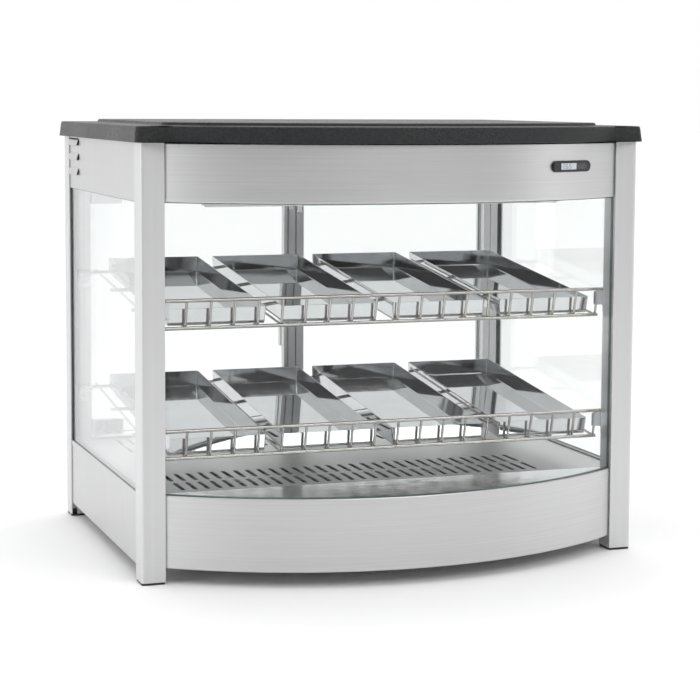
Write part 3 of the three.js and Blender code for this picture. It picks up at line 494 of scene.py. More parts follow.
def strip(points, thickness, bend, steps=4):
    """The closed outline of a sheet folded along a path; the sheet lies to the left of the path."""
    path = rounded(points, bend, steps)
    other = []
    for i, point in enumerate(path):
        before = (path[i] - path[i - 1]).normalized() if i else None
        after = (path[i + 1] - path[i]).normalized() if i < len(path) - 1 else None
        along = ((before or after) + (after or before)).normalized()
        square = Vector((-along.y, along.x))
        lean = square.dot(Vector((-(after or before).y, (after or before).x)))
        other.append(point + square * (thickness / lean))
    return path + other[::-1]


def arc(centre, radius, start, end, steps):
    """Points on an arc between two angles in degrees."""
    angles = [math.radians(start + (end - start) * i / steps) for i in range(steps + 1)]
    return [Vector((centre[0] + radius * math.cos(a), centre[1] + radius * math.sin(a))) for a in angles]


def rectangle(low, high, inset=0.0):
    """The corners of a box seen from the front, drawn in by inset."""
    return [(low.x + inset, low.z + inset), (high.x - inset, low.z + inset),
            (high.x - inset, high.z - inset), (low.x + inset, high.z - inset)]


def along_x(x):
    return lambda point: Vector((x, point[0], point[1]))


def along_y(y):
    return lambda point: Vector((point[0], y, point[1]))


def along_z(z):
    return lambda point: Vector((point[0], point[1], z))


def extrude(bm, faces, by):
    grown = bmesh.ops.extrude_face_region(bm, geom=faces)["geom"]
    verts = [item for item in grown if isinstance(item, bmesh.types.BMVert)]
    bmesh.ops.translate(bm, verts=verts, vec=by)
    return verts


def prism(bm, outline, place, by):
    """A solid from a flat outline that is placed in space and drawn out."""
    face = bm.faces.new([bm.verts.new(place(point)) for point in outline])
    start = list(face.verts)
    return start + extrude(bm, [face], by)


def soften(bm, width, segments=1, verts=None, sharper=30):
    """Breaks the sharp edges, on the whole mesh or between the given vertices."""
    chosen = set(verts) if verts else None
    edges = [
        edge for edge in bm.edges
        if edge.is_manifold and edge.calc_face_angle(0) > math.radians(sharper)
        and (chosen is None or all(vert in chosen for vert in edge.verts))
    ]
    bmesh.ops.bevel(bm, geom=edges, offset=width, segments=segments, profile=0.5, affect="EDGES",
                    material=-1, clamp_overlap=True)


def block(bm, low, high, soft=0.0, segments=2):
    """A box between two corners with its edges rounded."""
    low, high = Vector(map(min, low, high)), Vector(map(max, low, high))
    verts = bmesh.ops.create_cube(bm, size=1)["verts"]
    bmesh.ops.scale(bm, vec=high - low, verts=verts)
    bmesh.ops.translate(bm, vec=(low + high) / 2, verts=verts)
    if soft:
        soften(bm, soft, segments, verts)


def turned(bm, profile, centre, axis, steps=24):
    """A solid turned round an axis through centre; the profile is (radius, distance along axis)."""
    axis = Vector(axis).normalized()
    across = axis.orthogonal().normalized()
    verts = [bm.verts.new(Vector(centre) + across * r + axis * h) for r, h in profile]
    edges = [bm.edges.new(pair) for pair in zip(verts, verts[1:])]
    bmesh.ops.spin(bm, geom=verts + edges, cent=centre, axis=axis, angle=math.tau, steps=steps,
                   use_merge=True)


def rings_between(bm, loops, cap_start=True, cap_end=True):
    """Joins loops that have as many points each into one skin, and caps its ends."""
    edges = []
    rims = []
    for loop in loops:
        verts = [bm.verts.new(point) for point in loop]
        edges.append([bm.edges.new((verts[i - 1], verts[i])) for i in range(len(verts))])
        rims.append(verts)
    for first, second in zip(edges, edges[1:]):
        bmesh.ops.bridge_loops(bm, edges=first + second)
    if cap_start:
        bm.faces.new(rims[0])
    if cap_end:
        bm.faces.new(rims[-1][::-1])


def perforated(bm, outline, holes, place, by):
    """A sheet cut to an outline with holes, given its thickness by drawing it out."""
    edges = []
    for loop in [outline, *holes]:
        verts = [bm.verts.new(place(point)) for point in loop]
        edges += [bm.edges.new((verts[i - 1], verts[i])) for i in range(len(verts))]
    filled = bmesh.ops.triangle_fill(bm, edges=edges, use_beauty=True)["geom"]
    faces = [item for item in filled if isinstance(item, bmesh.types.BMFace)]
    extrude(bm, faces, by)


def trim(bm, point, normal):
    """Cuts the mesh off beyond a plane and closes the cut."""
    everything = bm.verts[:] + bm.edges[:] + bm.faces[:]
    cut = bmesh.ops.bisect_plane(bm, geom=everything, plane_co=point, plane_no=normal,
                                 clear_outer=True)["geom_cut"]
    edges = [item for item in cut if isinstance(item, bmesh.types.BMEdge)]
    bmesh.ops.triangle_fill(bm, edges=edges, use_beauty=True)


def front_band(bm, section, half=None):
    """A curved piece that follows the cabinet's front; the section is (distance behind the face, height)."""
    half = half or FRONT_HALF
    reach = math.asin(half / FRONT_RADIUS) + math.radians(2.5)
    ahead = Matrix.Rotation(-reach, 4, "Z")
    pivot = Vector((0, FRONT_CENTRE, 0))
    verts = [bm.verts.new(pivot + ahead @ Vector((0, d - FRONT_RADIUS, z))) for d, z in section]
    edges = [bm.edges.new((verts[i - 1], verts[i])) for i in range(len(verts))]
    bmesh.ops.spin(bm, geom=verts + edges, cent=pivot, axis=(0, 0, 1), angle=2 * reach,
                   steps=sizes().arc_steps)
    for side in (-1, 1):
        trim(bm, (side * half, 0, 0), (side, 0, 0))


class Tube:
    """A round wire drawn from point to point with true bends."""

    def __init__(self, bm, start, heading, radius, sides):
        self.bm = bm
        self.heading = Vector(heading).normalized()
        turn = self.heading.to_track_quat("Z", "Y").to_matrix().to_4x4()
        made = bmesh.ops.create_circle(bm, cap_ends=True, radius=radius, segments=sides,
                                       matrix=Matrix.Translation(start) @ turn)
        self.verts = made["verts"]
        self.edges = list({edge for vert in self.verts for edge in vert.link_edges})
        self.place = Vector(start)

    def take(self, geometry):
        self.verts = [item for item in geometry if isinstance(item, bmesh.types.BMVert)]
        self.edges = [item for item in geometry if isinstance(item, bmesh.types.BMEdge)]

    def run(self, length):
        geometry = bmesh.ops.extrude_edge_only(self.bm, edges=self.edges)["geom"]
        self.take(geometry)
        self.edges = [edge for edge in self.edges if all(vert in self.verts for vert in edge.verts)]
        bmesh.ops.translate(self.bm, verts=self.verts, vec=self.heading * length)
        self.place += self.heading * length
        return self

    def bend(self, radius, towards, angle, steps=5):
        """Turns by angle towards a direction square to the heading."""
        inward = Vector(towards).normalized()
        axis = self.heading.cross(inward)
        centre = self.place + inward * radius
        geometry = bmesh.ops.spin(self.bm, geom=self.verts + self.edges, cent=centre, axis=axis,
                                  angle=angle, steps=steps)["geom_last"]
        self.take(geometry)
        turn = Matrix.Rotation(angle, 3, axis)
        self.place = centre + turn @ (self.place - centre)
        self.heading = turn @ self.heading
        return self

    def close(self):
        bmesh.ops.edgeloop_fill(self.bm, edges=self.edges)


def wire(bm, start, end, radius, sides):
    """A straight round wire."""
    start, end = Vector(start), Vector(end)
    Tube(bm, start, end - start, radius, sides).run((end - start).length).close()


def screw(bm, centre, normal, radius=3.2 * MM):
    """A dome-headed screw with a hexagon socket; its head stands on centre."""
    normal = Vector(normal).normalized()
    dome = [(radius, 0), (radius, radius * 0.25), (radius * 0.82, radius * 0.55),
            (radius * 0.5, radius * 0.68)]
    turned(bm, [(0, 0), *dome, (radius * 0.42, radius * 0.3), (0, radius * 0.28)], centre,
           normal, 12)


def make_piece(bm, name, materials, slot, nodes=(), body="cabinet", paint=None, smooth=38):
    """Turns a bmesh into a named piece that rides on a body and stands for its CAD nodes."""
    bmesh.ops.remove_doubles(bm, verts=bm.verts[:], dist=0.004 * MM)
    bmesh.ops.recalc_face_normals(bm, faces=bm.faces[:])
    for face in bm.faces:
        face.smooth = True
        face.material_index = paint(face) if paint else 0
    for edge in bm.edges:
        edge.smooth = edge.calc_face_angle(0) < math.radians(smooth)
    name = f"{name}_piece" if nodes else name
    mesh = bpy.data.meshes.new(name)
    bm.to_mesh(mesh)
    bm.free()
    for material in materials:
        mesh.materials.append(material)
    piece = bpy.data.objects.new(name, mesh)
    bpy.context.scene.collection.objects.link(piece)
    flat = piece.modifiers.new("Flat faces", "WEIGHTED_NORMAL")
    flat.keep_sharp = True
    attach(piece, body)
    if nodes:
        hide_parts(*nodes)
    return piece


class PieceOperator(bpy.types.Operator):
    """Shared by every operator that builds part of the cabinet"""
    bl_options = {"REGISTER", "UNDO"}

    def execute(self, context):
        self.build(context)
        return {"FINISHED"}


# ---- Posts, feet and mullion ----
POST_CORNER = 4 * MM
GROOVE_FROM = 1.8 * MM
GROOVE_TO = 9 * MM
GROOVE_DEPTH = 9 * MM
POST_LIP = 0.8 * MM
POST_WALL = 2 * MM
POST_BACK_WALL = 3 * MM
TRIM_FROM = 20.5 * MM  # a shadow line beside the groove
TRIM_TO = 23 * MM
TRIM_DEPTH = 1 * MM
SEAL_THICK = 1.2 * MM
SEAL_DEEP = 6 * MM
SEAL_PROUD = 0.6 * MM
FOOT_CORNER = 3.5 * MM


def post_section(width, depth):
    """The post's outline, measured in from its outer corner: across, then front to back."""
    lip = POST_LIP
    bed = depth - TRIM_DEPTH
    return [
        *arc((POST_CORNER, POST_CORNER), POST_CORNER, 180, 270, 8),
        *arc((width - lip, lip), lip, 270, 360, 3), *arc((width - lip, depth - lip), lip, 0, 90, 3),
        (TRIM_TO, depth), (TRIM_TO, bed), (TRIM_FROM, bed), (TRIM_FROM, depth),
        (GROOVE_TO, depth), (GROOVE_TO, depth - GROOVE_DEPTH), (GROOVE_FROM, depth - GROOVE_DEPTH),
        (GROOVE_FROM, depth), (0.5 * MM, depth), (0, depth - 0.5 * MM),
    ]


def post_hollow(width, depth):
    """The hollow inside the post's walls, measured in the same way."""
    wall, back = POST_WALL, depth - POST_BACK_WALL
    bed = depth - GROOVE_DEPTH - wall
    return [
        (GROOVE_FROM, wall), (width - wall, wall), (width - wall, back), (GROOVE_TO + wall, back),
        (GROOVE_TO + wall, bed), (GROOVE_FROM, bed),
    ]


class CABINET_OT_posts(PieceOperator):
    """Builds the four corner posts with their glass grooves, and the rubber that holds the glass"""
    bl_idname = "cabinet.posts"
    bl_label = "Corner posts"

    def build(self, context):
        for end_name, end in ENDS:
            for side_name, side in SIDES:
                node = f"post_{end_name}_{side_name}"
                low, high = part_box(node)
                width, depth = high.x - low.x, high.y - low.y
                corner = Vector((high.x if side > 0 else low.x, high.y if end > 0 else low.y))

                def placed(points, height):
                    return [Vector((corner.x - side * u, corner.y - end * v, height)) for u, v in points]

                outline = placed(post_section(width, depth), low.z)
                hollow = placed(post_hollow(width, depth), low.z)
                bm = bmesh.new()
                perforated(bm, outline, [hollow], Vector, (0, 0, high.z - low.z))
                make_piece(bm, node, [anodised_aluminium()], "anodised_aluminium", [node])
                self.seal(side_name, end_name, end, corner, depth)

    def seal(self, side_name, end_name, end, corner, depth):
        """A rubber strip in the glass groove."""
        low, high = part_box(f"side_glass_{side_name}")
        inner = corner.y - end * (depth + 0.2 * MM)
        bm = bmesh.new()
        for face, other in ((low.x, low.x - SEAL_THICK), (high.x, high.x + SEAL_THICK)):
            block(bm, (face, inner + end * SEAL_DEEP, low.z + 2 * MM),
                  (other, inner - end * SEAL_PROUD, high.z), 0.3 * MM)
        make_piece(bm, f"glass_seal_{end_name}_{side_name}", [rubber()], "black_plastic")


class CABINET_OT_feet(PieceOperator):
    """Builds the thin plastic caps under the posts"""
    bl_idname = "cabinet.feet"
    bl_label = "Foot caps"

    def build(self, context):
        for end_name, _ in ENDS:
            for side_name, _ in SIDES:
                node = f"foot_{end_name}_{side_name}"
                low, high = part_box(node)
                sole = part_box(f"post_{end_name}_{side_name}")[0].z - 0.3 * MM
                middle = (low + high) / 2
                half = (high - low) / 2
                bm = bmesh.new()
                rim = [(-half.x, -half.y), (half.x, -half.y), (half.x, half.y), (-half.x, half.y)]
                # inset and height of each ring: a bevelled sole, then the plug inside the post
                rings = ((0.9 * MM, 0), (0.35 * MM, 0.25 * MM), (0, 0.8 * MM), (0, sole), (3.2 * MM, sole),
                         (3.2 * MM, 9 * MM))
                loops = []
                for inset, z in rings:
                    shrink = 1 - inset / half.x
                    loops.append([Vector((middle.x + p.x * shrink, middle.y + p.y * shrink, z))
                                  for p in rounded(rim, FOOT_CORNER, 5, True)])
                rings_between(bm, loops)
                make_piece(bm, node, [black_plastic()], "black_plastic", [node])


MULLION_GROOVES = ((-10.8 * MM, -8.6 * MM), (1.5 * MM, 4 * MM))  # left and right side of each
MULLION_GROOVE_DEPTH = 4.5 * MM
MULLION_WALL = 2.2 * MM
KEEPER_THICK = 1.2 * MM
KEEPER_TOP = 462 * MM
KEEPERS = ((-8.2 * MM, -2.6 * MM, 451 * MM), (4.6 * MM, 12 * MM, 446 * MM))  # left, right, bottom


class CABINET_OT_mullion(PieceOperator):
    """Builds the grooved mullion behind the shelves and the door keepers at its top"""
    bl_idname = "cabinet.mullion"
    bl_label = "Rear mullion"

    def build(self, context):
        low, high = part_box("rear_mullion")
        front, back = low.y, high.y
        lip = POST_LIP
        deep = front + MULLION_GROOVE_DEPTH
        outline = [
            *arc((high.x - lip, back - lip), lip, 0, 90, 3), *arc((low.x + lip, back - lip), lip, 90, 180, 3),
            *arc((low.x + lip, front + lip), lip, 180, 270, 3),
            *(point for near, far in MULLION_GROOVES
              for point in ((near, front), (near, deep), (far, deep), (far, front))),
            *arc((high.x - lip, front + lip), lip, 270, 360, 3),
        ]
        wall = MULLION_WALL
        hollow = [(low.x + wall, deep + wall), (high.x - wall, deep + wall), (high.x - wall, back - wall),
                  (low.x + wall, back - wall)]
        bm = bmesh.new()
        perforated(bm, outline, [hollow], along_z(low.z), (0, 0, high.z - low.z))
        make_piece(bm, "rear_mullion", [anodised_aluminium()], "anodised_aluminium", ["rear_mullion"])
        bm = bmesh.new()
        for left, right, bottom in KEEPERS:
            block(bm, (left, front - KEEPER_THICK, bottom), (right, front, KEEPER_TOP), 0.3 * MM)
        make_piece(bm, "mullion_keepers", [polished_steel()], "polished_stainless")


# ---- Lid ----
LID_CORNER = 9 * MM
LID_WALL = 3 * MM
LID_DRAFT = 2 * MM
LID_BAND = 21 * MM
LID_EDGE = 2.6 * MM
LID_RIM = 0.5 * MM  # the skirt's lower edge is broken by this much
LID_SKIN = 0.05 * MM
PLATFORM_INSET = 46 * MM
PLATFORM_CORNER = 16 * MM
PLATFORM_FILLET = 1.5 * MM
PLATFORM_DRAFT = 0.6 * MM
PLATFORM_EDGE = 1.4 * MM
LID_FLAT = POST_LOW.y - (LID_HIGH.x + POST_LOW.x)  # the overhang is the same on every side


def lid_outline(inset, corner, height):
    """The lid's plan: a square back, flats over the front posts and a bow between them."""
    x, back, flat = LID_HIGH.x - inset, LID_HIGH.y - inset, LID_FLAT + inset
    sagitta = LID_FLAT - LID_LOW.y
    full = (INNER_X ** 2 + sagitta ** 2) / (2 * sagitta)
    centre = LID_LOW.y + full
    radius = full - inset
    reach, turn, corner_y = math.acos((centre - flat) / radius), math.pi / 2, flat + corner
    if radius * math.sin(reach) > x - corner:
        # so far in there are no flats left, and the corners run straight into the bow
        reach = math.asin((x - corner) / (radius - corner))
        turn = math.pi / 2 - reach
        corner_y = centre - math.sqrt((radius - corner) ** 2 - (x - corner) ** 2)
    reach, turn = math.degrees(reach), math.degrees(turn)
    plan = [
        *arc((x - corner, back - corner), corner, 0, 90, 8),
        *arc((corner - x, back - corner), corner, 90, 180, 8),
        *arc((corner - x, corner_y), corner, 180, 180 + turn, 8),
        *arc((0, centre), radius, -90 - reach, -90 + reach, 56),
        *arc((x - corner, corner_y), corner, -turn, 0, 8),
    ]
    return [Vector((p.x, p.y, height)) for p in plan]


def quarter(steps):
    """Sine and cosine shares of a quarter turn, for a rounded edge."""
    return [(math.sin(a), math.cos(a)) for a in (math.pi / 2 * i / steps for i in range(steps + 1))]


class CABINET_OT_lid(PieceOperator):
    """Builds the moulded lid: a drafted skirt, a rounded edge and the raised platform"""
    bl_idname = "cabinet.lid"
    bl_label = "Lid"

    def build(self, context):
        under = LID_LOW.z
        shoulder = under + LID_BAND
        top = LID_HIGH.z
        loops = [lid_outline(LID_WALL + LID_DRAFT, LID_CORNER - LID_WALL, shoulder - LID_WALL),
                 lid_outline(LID_WALL, LID_CORNER - LID_WALL, under), lid_outline(LID_RIM, LID_CORNER, under),
                 lid_outline(LID_SKIN, LID_CORNER, under + LID_RIM + 0.1 * MM)]
        for rise, rest in quarter(5):
            inset = LID_DRAFT + LID_EDGE * (1 - rest)
            loops.append(lid_outline(inset, LID_CORNER, shoulder - LID_EDGE * (1 - rise)))
        for rise, rest in quarter(3):
            inset = PLATFORM_INSET - PLATFORM_FILLET * (1 - rise)
            loops.append(lid_outline(inset, PLATFORM_CORNER, shoulder + PLATFORM_FILLET * (1 - rest)))
        for rise, rest in quarter(4):
            inset = PLATFORM_INSET + PLATFORM_DRAFT + PLATFORM_EDGE * (1 - rest)
            loops.append(lid_outline(inset, PLATFORM_CORNER, top - PLATFORM_EDGE * (1 - rise)))
        bm = bmesh.new()
        rings_between(bm, loops)
        make_piece(bm, "lid", [lid_plastic()], "lid_plastic", ["lid"])


# ---- Upper fascia, ceiling and lamp ----
FLANGE = 12 * MM
LOUVRE_HEIGHT = 11 * MM
LOUVRES = (549.5 * MM, 528.5 * MM, 507.5 * MM)  # lower edge of each
LOUVRE_FROM = 193 * MM
LOUVRE_TO = 253 * MM
LOUVRE_PROUD = 4.2 * MM
LOUVRE_GAP = LOUVRE_HEIGHT - 2.5 * MM
LOUVRE_SHEET = 0.9 * MM
LOUVRE_BEND = 4 * MM
SIDE_SHEET_THICK = 1 * MM
FLANGE_END = 9 * MM  # a side sheet's flange stops this far from its ends
REAR_FLANGE = 15 * MM
REAR_SCREW_IN = 24 * MM
REAR_SCREW_DROP = 14 * MM


def folded_channel(depth, bottom, top):
    """Section of a sheet folded back at its top and bottom: distance behind the face, height."""
    return strip([(depth, bottom), (0, bottom), (0, top), (depth, top)][::-1], sizes().sheet, sizes().bend)


class CABINET_OT_fascia(PieceOperator):
    """Builds the curved front fascia, the louvred side sheets and the rear fascia"""
    bl_idname = "cabinet.fascia"
    bl_label = "Upper fascia"

    def build(self, context):
        low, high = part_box("fascia_front")
        bm = bmesh.new()
        front_band(bm, folded_channel(FLANGE, low.z, high.z))
        make_piece(bm, "fascia_front", [brushed_steel("level")], "brushed_stainless", ["fascia_front"])
        for side_name, side in SIDES:
            self.side_sheet(side_name, side)
        self.rear()

    def side_sheet(self, side_name, side):
        node = f"fascia_{side_name}"
        low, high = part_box(node)
        outer = side * SIDE_SHEET
        inner = outer - side * SIDE_SHEET_THICK
        outline = [(low.y, low.z), (high.y, low.z), (high.y, high.z), (low.y, high.z)]
        gaps = [[(LOUVRE_FROM, z), (LOUVRE_TO, z), (LOUVRE_TO, z + LOUVRE_GAP), (LOUVRE_FROM, z + LOUVRE_GAP)]
                for z in LOUVRES]
        bm = bmesh.new()
        perforated(bm, outline, gaps, along_x(outer), (inner - outer, 0, 0))
        hood = strip([(-0.6 * MM, LOUVRE_HEIGHT), (LOUVRE_PROUD * 0.45, LOUVRE_HEIGHT * 0.72),
                      (LOUVRE_PROUD, 0)], -LOUVRE_SHEET, LOUVRE_BEND)
        for z in LOUVRES:
            points = [(outer + side * u, z + v) for u, v in hood]
            prism(bm, points, along_y(LOUVRE_FROM), (0, LOUVRE_TO - LOUVRE_FROM, 0))
        block(bm, (inner, low.y + FLANGE_END, high.z - SIDE_SHEET_THICK),
              (outer - side * FLANGE, high.y - FLANGE_END, high.z), sizes().edge, 1)
        make_piece(bm, node, [brushed_steel("z")], "brushed_stainless", [node])

    def rear(self):
        low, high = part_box("fascia_rear")
        section = strip([(low.y, low.z), (high.y, low.z), (high.y, high.z), (high.y - REAR_FLANGE, high.z)],
                        sizes().sheet, sizes().bend)
        bm = bmesh.new()
        prism(bm, section, along_x(low.x), (high.x - low.x, 0, 0))
        make_piece(bm, "fascia_rear", [brushed_steel("level")], "brushed_stainless", ["fascia_rear"])
        bm = bmesh.new()
        for x in (low.x + REAR_SCREW_IN, 0, high.x - REAR_SCREW_IN):
            screw(bm, (x, high.y, high.z - REAR_SCREW_DROP), (0, 1, 0), 3.6 * MM)
        make_piece(bm, "fascia_rear_screws", [polished_steel()], "polished_stainless")


def deck_outline(front_inset, side_x, back_y):
    """Plan of a deck that fits round the posts and follows the curved front."""
    edge_front, edge_rear = INNER_FRONT + 0.5 * MM, INNER_REAR - 0.5 * MM
    radius = FRONT_RADIUS - front_inset
    reach = math.degrees(math.asin(FRONT_HALF / radius))
    return [
        *arc((0, FRONT_CENTRE), radius, -90 - reach, -90 + reach, sizes().arc_steps),
        (FRONT_HALF, edge_front), (side_x, edge_front), (side_x, edge_rear), (FRONT_HALF, edge_rear),
        (FRONT_HALF, back_y), (-FRONT_HALF, back_y), (-FRONT_HALF, edge_rear), (-side_x, edge_rear),
        (-side_x, edge_front), (-FRONT_HALF, edge_front),
    ]


DECK_SETBACK = 2 * MM  # how far the decks stay behind the face of the curved panels
LAMP_SHEET = 0.8 * MM
LAMP_LIP = 2.2 * MM
LAMP_SILL = 2 * MM  # the housing starts this far above the diffuser's face
LAMP_CAP = 2 * MM
DIFFUSER_INSET = 3 * MM
DIFFUSER_DEPTH = 5 * MM
DIFFUSER_BEND = 2.5 * MM


class CABINET_OT_ceiling(PieceOperator):
    """Builds the ceiling panel and the lamp bar below it"""
    bl_idname = "cabinet.ceiling"
    bl_label = "Ceiling and lamp"

    def build(self, context):
        low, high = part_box("ceiling_panel")
        bm = bmesh.new()
        outline = deck_outline(DECK_SETBACK, high.x, high.y)
        perforated(bm, outline, [], along_z(low.z), (0, 0, high.z - low.z))
        make_piece(bm, "ceiling_panel", [brushed_steel("x")], "brushed_stainless", ["ceiling_panel"])
        low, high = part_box("light_bar")
        bm = bmesh.new()
        sill = low.z + LAMP_SILL
        path = [(low.y + LAMP_LIP, sill), (low.y, sill), (low.y, high.z), (high.y, high.z), (high.y, sill),
                (high.y - LAMP_LIP, sill)]
        shell = strip(path, -LAMP_SHEET, 1 * MM)
        prism(bm, shell, along_x(low.x), (high.x - low.x, 0, 0))
        inside = LAMP_SHEET + 0.1 * MM
        for x in (low.x, high.x - LAMP_CAP):
            block(bm, (x, low.y + inside, sill + 0.4 * MM), (x + LAMP_CAP, high.y - inside, high.z - inside),
                  0.3 * MM)
        make_piece(bm, "light_bar", [anodised_aluminium()], "anodised_aluminium", ["light_bar"])
        bm = bmesh.new()
        front, back, top = low.y + DIFFUSER_INSET, high.y - DIFFUSER_INSET, low.z + DIFFUSER_DEPTH
        dome = rounded([(front, top), (front, low.z), (back, low.z), (back, top)], DIFFUSER_BEND, 5)
        prism(bm, dome, along_x(low.x + DIFFUSER_INSET), (high.x - low.x - 2 * DIFFUSER_INSET, 0, 0))
        make_piece(bm, "light_diffuser", [lamp_diffuser()], "lamp_diffuser")


# ---- Thermometer ----
THERMOMETER_X = 223 * MM
THERMOMETER_Z = 531 * MM
BEZEL_HALF = 37.5 * MM
BEZEL_RADIUS = 7.4 * MM
BEZEL_THICK = 3 * MM
BEZEL_EDGE = 1.2 * MM
BODY_HALF = 22.5 * MM
BODY_DEPTH = 16 * MM
BODY_RISE = 5.6 * MM
WINDOW = (-23 * MM, 28.5 * MM)
WINDOW_HALF = 4.2 * MM
WINDOW_THICK = 0.5 * MM
WINDOW_RIM = 0.7 * MM
LIT_TO = 7.6 * MM  # the lit part of the window ends here
READING = "265"
READING_FROM = -19 * MM
FIGURE_PITCH = 6.2 * MM
SEGMENTS = {"2": "abged", "6": "afgedc", "5": "afgcd"}


def on_fascia():
    """The place and turn of a piece drawn round the origin, on the curved front."""
    turn = math.asin(THERMOMETER_X / FRONT_RADIUS)
    place = Vector((THERMOMETER_X, FRONT_CENTRE - FRONT_RADIUS * math.cos(turn), THERMOMETER_Z))
    return Matrix.Translation(place) @ Matrix.Rotation(turn, 4, "Z")


def stadium(half, radius, depth):
    """A long oval that faces forwards."""
    straight = half - radius
    plan = [*arc((straight, 0), radius, -90, 90, 12), *arc((-straight, 0), radius, 90, 270, 12)]
    return [Vector((p.x, -depth, p.y)) for p in plan]


def digit(bm, figure, left, y):
    """A seven-segment figure of a liquid crystal display."""
    wide, tall, bar, gap = 3.4 * MM, 2.6 * MM, 0.6 * MM, 0.06 * MM
    # column, row, and whether the segment lies flat or stands upright
    places = {"a": (0, 2, 1, 0), "g": (0, 1, 1, 0), "d": (0, 0, 1, 0), "f": (0, 1, 0, 1), "e": (0, 0, 0, 1),
              "b": (1, 1, 0, 1), "c": (1, 0, 0, 1)}
    for segment in SEGMENTS[figure]:
        column, row, flat, upright = places[segment]
        x, z = left + column * wide, (row - 1) * tall
        block(bm, (x - bar / 2 + flat * (bar + gap), y, z - bar / 2 + upright * (bar + gap)),
              (x + bar / 2 + flat * (wide - bar - gap), y - 0.05 * MM,
               z + bar / 2 + upright * (tall - bar - gap)))


class CABINET_OT_thermometer(PieceOperator):
    """Builds the thermometer: an oval bezel, its window and the display behind it"""
    bl_idname = "cabinet.thermometer"
    bl_label = "Thermometer"

    def build(self, context):
        bm = bmesh.new()
        loops = [stadium(BEZEL_HALF, BEZEL_RADIUS, 0.3 * MM)]
        for rise, rest in quarter(4):
            inset = BEZEL_EDGE * (1 - rest)
            loops.append(stadium(BEZEL_HALF - inset, BEZEL_RADIUS - inset,
                                 BEZEL_THICK - BEZEL_EDGE * (1 - rise) - 0.2 * MM))
        rings_between(bm, loops)
        block(bm, (-BODY_HALF, -0.5 * MM, -BODY_RISE), (BODY_HALF, BODY_DEPTH, BODY_RISE), 0.4 * MM)
        self.frame(bm)
        self.mount(bm, "thermometer_housing", [black_plastic()], "black_plastic", ["thermometer_housing"])
        face = -BEZEL_THICK + 0.1 * MM
        bed = face + WINDOW_THICK
        bm = bmesh.new()
        block(bm, (WINDOW[0], face, -WINDOW_HALF), (LIT_TO, bed, WINDOW_HALF), 0.1 * MM, 1)
        self.mount(bm, "thermometer_window", [display_window()], "display_window", ["thermometer_window"])
        bm = bmesh.new()
        block(bm, (LIT_TO + 0.1 * MM, face, -WINDOW_HALF), (WINDOW[1], bed, WINDOW_HALF), 0.1 * MM, 1)
        self.mount(bm, "thermometer_shade", [smoked_window()], "display_window")
        bm = bmesh.new()
        for i, figure in enumerate(READING):
            digit(bm, figure, READING_FROM + FIGURE_PITCH * i, face)
        self.mount(bm, "thermometer_figures", [painted("display_ink", (0.05, 0.05, 0.07))], "display_window")

    def mount(self, bm, *piece):
        """Moves a mesh on to the fascia and makes a piece of it."""
        bmesh.ops.transform(bm, matrix=on_fascia(), verts=bm.verts[:])
        make_piece(bm, *piece)

    def frame(self, bm):
        """A raised lip round the window."""
        rim = WINDOW_RIM
        face = -BEZEL_THICK + 0.2 * MM
        for za, zb in ((-WINDOW_HALF - rim, -WINDOW_HALF), (WINDOW_HALF, WINDOW_HALF + rim)):
            block(bm, (WINDOW[0] - rim, face, za), (WINDOW[1] + rim, -BEZEL_THICK, zb), 0.15 * MM, 1)
        for xa, xb in ((WINDOW[0] - rim, WINDOW[0]), (WINDOW[1], WINDOW[1] + rim)):
            block(bm, (xa, face, -WINDOW_HALF), (xb, -BEZEL_THICK, WINDOW_HALF), 0.15 * MM, 1)


# ---- Base ----
FRONT_LEDGE = 8.5 * MM
SIDE_LEDGE = 334 * MM  # inner edge of the ledge that carries a side pane
SIDE_LIP = 1 * MM
SIDE_LIP_DROP = 6 * MM
REAR_FOLD = 5 * MM
VENTS = 9
VENT_FIRST = -130 * MM
VENT_PITCH = 20 * MM
VENT_WIDTH = 4 * MM
VENT_LOW = 46 * MM
VENT_HIGH = 86 * MM
BASE_SCREWS_IN = 16 * MM
BASE_SCREWS_DROP = 12 * MM


